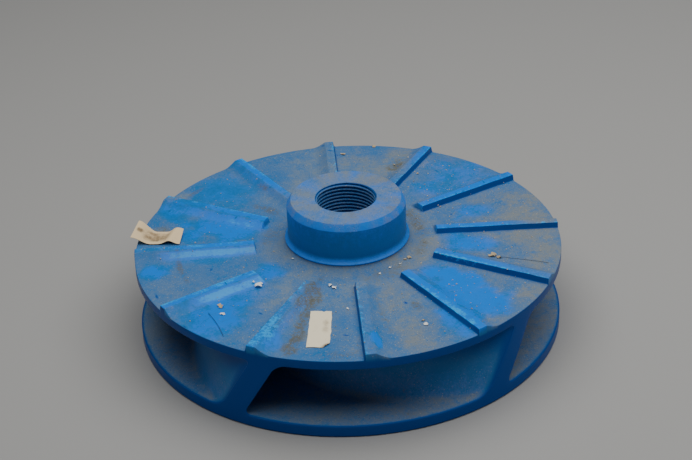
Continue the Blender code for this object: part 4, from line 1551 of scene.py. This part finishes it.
def ramp(tree, value, low, high):
    """0 below low and 1 above high, with a smooth S between."""
    inputs = {"Value": value, "From Min": low, "From Max": high}
    return add_node(tree, "ShaderNodeMapRange", inputs, interpolation_type="SMOOTHSTEP").outputs["Result"]


def broken(tree, amount, noises, low, high):
    """A stored amount broken up by noises, as (noise, strength) pairs, and turned into a mask."""
    share = 1.0
    for noise_socket, strength in noises:
        share = sums(tree, "MULTIPLY_ADD", noise_socket, strength, share)
    return ramp(tree, sums(tree, "MULTIPLY", amount, share), low, high)


def blended(tree, factor, first, second):
    """Mix two colours, each a value or a socket."""
    inputs = {"Factor": factor, 6: first, 7: second}
    return add_node(tree, "ShaderNodeMix", inputs, data_type="RGBA").outputs[2]


def bump(tree, shader, height, strength, distance):
    """Roughen a shader's surface by a height."""
    inputs = {"Strength": strength, "Distance": distance, "Height": height}
    wire(tree, shader, {"Normal": add_node(tree, "ShaderNodeBump", inputs).outputs["Normal"]})


print("a new material starts with", len(new_tree("trial")[1].nodes), "nodes")
bpy.data.materials.remove(bpy.data.materials["trial"])

# %% [markdown]
# The blue paint
#
# One enamel covers the casting and the hub. Deep blue is the spotless coat, and on the vanes' steep
# sides and high in the channels it is also painted shade; rubbed paint is lighter and brighter, and
# the same lighter blues are painted sheen, highlights and reflected light on some slopes and on the
# hub. Over it lie dust, grey on the left and brownish on the right, then brown dirt, cyan chips, and
# pale and dark specks. A layer below names its stored amount, the noises that break it up, the low
# and high end of its mask, and its strength.

# %% Colours, noises and layers of the paint
DEEP_BLUE = (0.000, 0.068, 0.330, 1)
MIDDLE_BLUE = (0.010, 0.165, 0.460, 1)
BRIGHT_BLUE = (0.000, 0.205, 0.800, 1)
LIGHT_BLUE = (0.030, 0.360, 0.880, 1)
CHIP_CYAN = (0.010, 0.390, 0.880, 1)
DUST_LEFT = (0.195, 0.250, 0.300, 1)
DUST_RIGHT = (0.230, 0.245, 0.230, 1)
DIRT_BROWN = (0.125, 0.118, 0.075, 1)
SPECK_PALE = (0.500, 0.460, 0.370, 1)
PIT_DARK = (0.010, 0.030, 0.060, 1)
PAINT_NOISES = {
    "coarse": {"scale": 15, "detail": 4},
    "middle": {"scale": 60, "detail": 6, "roughness": 0.65, "distortion": 0.3},
    "fine": {"scale": 240, "detail": 6, "roughness": 0.75},
    "grain": {"scale": 520, "detail": 3},
    "pitted": {"scale": 620, "detail": 2, "roughness": 0.5},
}
# The brightness layers carry rubbed paint and painted light: painted sheen on slopes, and painted
# highlights and reflected light on the hub.
RUBBED_AND_LIT_LAYER = ("bright", {"middle": 0.30, "fine": 0.40, "coarse": 0.25}, 0.15, 0.65, 1.0)
LIGHT_PAINT_AND_SHEEN_LAYER = ("bright", {"middle": 0.15, "fine": 0.20}, 0.70, 1.00, 1.0)
DUST_LAYER = ("dust", {"middle": 0.28, "fine": 0.36, "coarse": 0.34, "grain": 0.28}, 0.00, 1.28, 0.88)
DIRT_LAYER = ("dirt", {"middle": 0.8, "fine": 0.8, "grain": 0.5}, 0.15, 1.40, 0.80)
CHIP_LAYER = ("chips", {"fine": 0.9, "middle": 0.8, "grain": 0.3}, 0.60, 1.25, 1.0)
SPECKS = [("pitted", 0.55, 0.85, 0.60, PIT_DARK), ("grain", 0.52, 0.82, 0.80, SPECK_PALE)]
print("noises in the paint:", ", ".join(PAINT_NOISES))

# %% [markdown]
# Each layer is mixed over the colour below it. Dust is rough and clean paint has a dull gloss.
# The fine bumps are almost flat where no brightness is stored, as on the steep deep blue sides.

# %% The blue paint
FILM_RANGE = (0.0, 0.2)
DUSTY_RANGE = (0.05, 0.6)
DUST_SIDES = (-0.08, 0.22)
DUST_SIDE_NOISE = 0.12
CLEAN_ROUGHNESS = 0.36
DUST_ROUGHNESS = 0.40
DIRT_ROUGHNESS = 0.25
LEAST_GLOSS = 0.12
RUBBED_GLOSS = 0.10
PAINT_BUMP_SHARE = 0.6
LEAST_PAINT_BUMP = 0.08
PAINT_BUMP = (0.30, 0.0005)


def paint_fields(tree):
    """The stored amounts, the distance to the east and the noises, by name."""
    place = add_node(tree, "ShaderNodeTexCoord", {}).outputs["Object"]
    wear = add_node(tree, "ShaderNodeAttribute", {}, attribute_name="wear")
    split = add_node(tree, "ShaderNodeSeparateColor", {"Color": wear.outputs["Color"]})
    fields = dict(zip(("dust", "dirt", "bright"), split.outputs), chips=wear.outputs["Alpha"])
    fields["east"] = add_node(tree, "ShaderNodeSeparateXYZ", {"Vector": place}).outputs["X"]
    for name, settings in PAINT_NOISES.items():
        fields[name] = noise_field(tree, place, **settings)
    return fields


def covered(tree, fields, colour, layer, over):
    """A colour with one layer mixed over it, and the layer's mask."""
    amount, noises, low, high, strength = layer
    pairs = [(fields[name], share) for name, share in noises.items()]
    mask = sums(tree, "MULTIPLY", broken(tree, fields[amount], pairs, low, high), strength)
    return blended(tree, mask, colour, over), mask


def blue_paint():
    """The paint of the casting and the hub."""
    material, tree, shader = new_tree("worn_blue_paint")
    fields = paint_fields(tree)
    # Painted shade: where little brightness is stored, as on the steep sides and high in the channels, the
    # colour stays deep blue.
    film = ramp(tree, fields["bright"], *FILM_RANGE)
    colour = blended(tree, film, DEEP_BLUE, MIDDLE_BLUE)
    colour, _ = covered(tree, fields, colour, RUBBED_AND_LIT_LAYER, BRIGHT_BLUE)
    colour, _ = covered(tree, fields, colour, LIGHT_PAINT_AND_SHEEN_LAYER, LIGHT_BLUE)
    east = sums(tree, "MULTIPLY_ADD", fields["coarse"], DUST_SIDE_NOISE, fields["east"])
    dust_colour = blended(tree, ramp(tree, east, *DUST_SIDES), DUST_LEFT, DUST_RIGHT)
    colour, dust = covered(tree, fields, colour, DUST_LAYER, dust_colour)
    colour, dirt = covered(tree, fields, colour, DIRT_LAYER, DIRT_BROWN)
    colour, _ = covered(tree, fields, colour, CHIP_LAYER, CHIP_CYAN)
    dusty = ramp(tree, fields["dust"], *DUSTY_RANGE)
    for name, low, high, strength, over in SPECKS:
        specks = sums(tree, "MULTIPLY", ramp(tree, fields[name], low, high), dusty)
        colour = blended(tree, sums(tree, "MULTIPLY", specks, strength), colour, over)

    rough = sums(tree, "MULTIPLY_ADD", dust, DUST_ROUGHNESS, CLEAN_ROUGHNESS)
    rough = sums(tree, "MULTIPLY_ADD", dirt, DIRT_ROUGHNESS, rough)
    gloss = sums(tree, "MULTIPLY_ADD", fields["bright"], RUBBED_GLOSS, LEAST_GLOSS)
    wire(tree, shader, {"Base Color": colour, "Roughness": rough, "Specular IOR Level": gloss})
    relief = sums(tree, "MULTIPLY", fields["middle"], PAINT_BUMP_SHARE)
    relief = sums(tree, "MULTIPLY_ADD", fields["fine"], PAINT_BUMP_SHARE, relief)
    relief = sums(tree, "MULTIPLY", relief, sums(tree, "ADD", film, LEAST_PAINT_BUMP))
    bump(tree, shader, relief, *PAINT_BUMP)
    return material


paint = blue_paint()
for thing in (casting, hub):
    thing.data.materials.append(paint)
print("paint nodes:", len(paint.node_tree.nodes))

# %% [markdown]
# Papers and scraps
#
# Both papers share one recipe: clean paper, with brown stains where the stored amount and some
# noise say so, and a fine fibrous bump. The scraps, the fibres and the grit are matt materials,
# each in two shades of one colour.

# %% Materials of the papers and the scraps
PAPER_WHITE = (1.000, 0.890, 0.640, 1)
PAPER_CREAM = (0.880, 0.680, 0.400, 1)
PAPER_STAIN = (0.230, 0.150, 0.075, 1)
SCRAP_WHITE = (0.950, 0.940, 0.880, 1)
SCRAP_TAN = (0.560, 0.440, 0.260, 1)
GRIT_GREY = (0.560, 0.520, 0.430, 1)
FIBRE_DARK = (0.060, 0.070, 0.080, 1)
MATT_ROUGHNESS = 0.85
MATT_SHADE = 0.6
FAINT_STAIN = 0.20
STRONG_STAIN = 0.90
PAPER_BUMP = (0.2, 0.0002)


def paper(name, colour):
    """Paper with stains and a fibrous surface."""
    material, tree, shader = new_tree(name)
    place = add_node(tree, "ShaderNodeTexCoord", {}).outputs["Object"]
    wear = add_node(tree, "ShaderNodeAttribute", {}, attribute_name="wear")
    amount = add_node(tree, "ShaderNodeSeparateColor", {"Color": wear.outputs["Color"]}).outputs["Red"]
    blots = noise_field(tree, place, scale=110)
    faint = sums(tree, "MULTIPLY", ramp(tree, blots, 0.2, 1.2), FAINT_STAIN)
    strong = sums(tree, "MULTIPLY", broken(tree, amount, [(blots, 0.6)], 0.1, 1.1), STRONG_STAIN)
    stained = blended(tree, sums(tree, "MAXIMUM", faint, strong), colour, PAPER_STAIN)
    wire(tree, shader, {"Base Color": stained, "Roughness": MATT_ROUGHNESS})
    bump(tree, shader, noise_field(tree, place, scale=900, detail=4), *PAPER_BUMP)
    return material


def matt(name, colour):
    """A matt material that varies between a colour and a darker shade of it."""
    material, tree, shader = new_tree(name)
    place = add_node(tree, "ShaderNodeTexCoord", {}).outputs["Object"]
    shade = tuple(MATT_SHADE * part for part in colour[:3]) + (1,)
    lit = ramp(tree, noise_field(tree, place, scale=400), -0.8, 0.2)
    wire(tree, shader, {"Base Color": blended(tree, lit, shade, colour), "Roughness": MATT_ROUGHNESS})
    return material


label.data.materials.append(paper("label_stained", PAPER_WHITE))
tag.data.materials.append(paper("tag_aged", PAPER_CREAM))
small_pieces = (pale_scraps, tan_scraps, grit_grains, fibres)
for thing, colour in zip(small_pieces, (SCRAP_WHITE, SCRAP_TAN, GRIT_GREY, FIBRE_DARK)):
    thing.data.materials.append(matt(thing.name + "_matt", colour))
finished = (casting, label, tag, *small_pieces)
print("materials:", ", ".join(thing.data.materials[0].name for thing in finished))

# %% [markdown]
# The floor
#
# The wheel stands on a plain pale floor. It belongs to the stage and not to the wheel, so it is
# marked as such.

# %% A plain floor
FLOOR_HALF_SIDE = 9.0
FLOOR_COLOUR = (0.39, 0.385, 0.37, 1)
FLOOR_ROUGHNESS = 0.9

floor_corners = [
    (east * FLOOR_HALF_SIDE, north * FLOOR_HALF_SIDE, 0)
    for east, north in ((-1, -1), (1, -1), (1, 1), (-1, 1))
]
floor_mesh = bpy.data.meshes.new("floor")
floor_mesh.from_pydata(floor_corners, [], [(0, 1, 2, 3)])
floor = put_in_scene("floor", floor_mesh)
floor_material, floor_tree, floor_shader = new_tree("pale_floor")
wire(floor_tree, floor_shader, {"Base Color": FLOOR_COLOUR, "Roughness": FLOOR_ROUGHNESS})
floor.data.materials.append(floor_material)
floor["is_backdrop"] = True
print("floor of", 2 * FLOOR_HALF_SIDE, "m")

# %% [markdown]
# The light
#
# One broad soft light hangs overhead, as in a workshop with a bright ceiling: level faces are
# bright, upright faces stay deep blue, and the channels fall off into black. A weak grey surround
# fills the rest.

# %% Soft light and surround
LIGHT_PLACE = Vector((0.55, -0.05, 2.60))
LIGHT_WIDTH = 4.1
LIGHT_DEPTH = 3.5
LIGHT_POWER = 98
SURROUND = (0.50, 0.52, 0.56, 1)
SURROUND_STRENGTH = 0.16

lamp_data = bpy.data.lights.new("soft_light", "AREA")
lamp_data.shape = "RECTANGLE"
lamp_data.size = LIGHT_WIDTH
lamp_data.size_y = LIGHT_DEPTH
lamp_data.energy = LIGHT_POWER
put_in_scene("soft_light", lamp_data).location = LIGHT_PLACE

world = bpy.data.worlds.new("surround")
world.use_nodes = True
backdrop = world.node_tree.nodes["Background"]
wire(world.node_tree, backdrop, {"Color": SURROUND, "Strength": SURROUND_STRENGTH})
bpy.context.scene.world = world
print("one soft light of", LIGHT_POWER, "W,", round(LIGHT_PLACE.z, 2), "m above the floor")

# %% [markdown]
# Check the size and finish
#
# The dressed wheel must still fill the same box as the measured solids, so both boxes are compared
# and their difference is printed.

# %% Compare the boxes and finish
visual_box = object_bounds()
growth = [
    round((visual_box[end][axis] - cad_box[end][axis]) * 1000, 2) for end in (0, 1) for axis in range(3)
]
print("visual box against measured box, in mm:", growth)
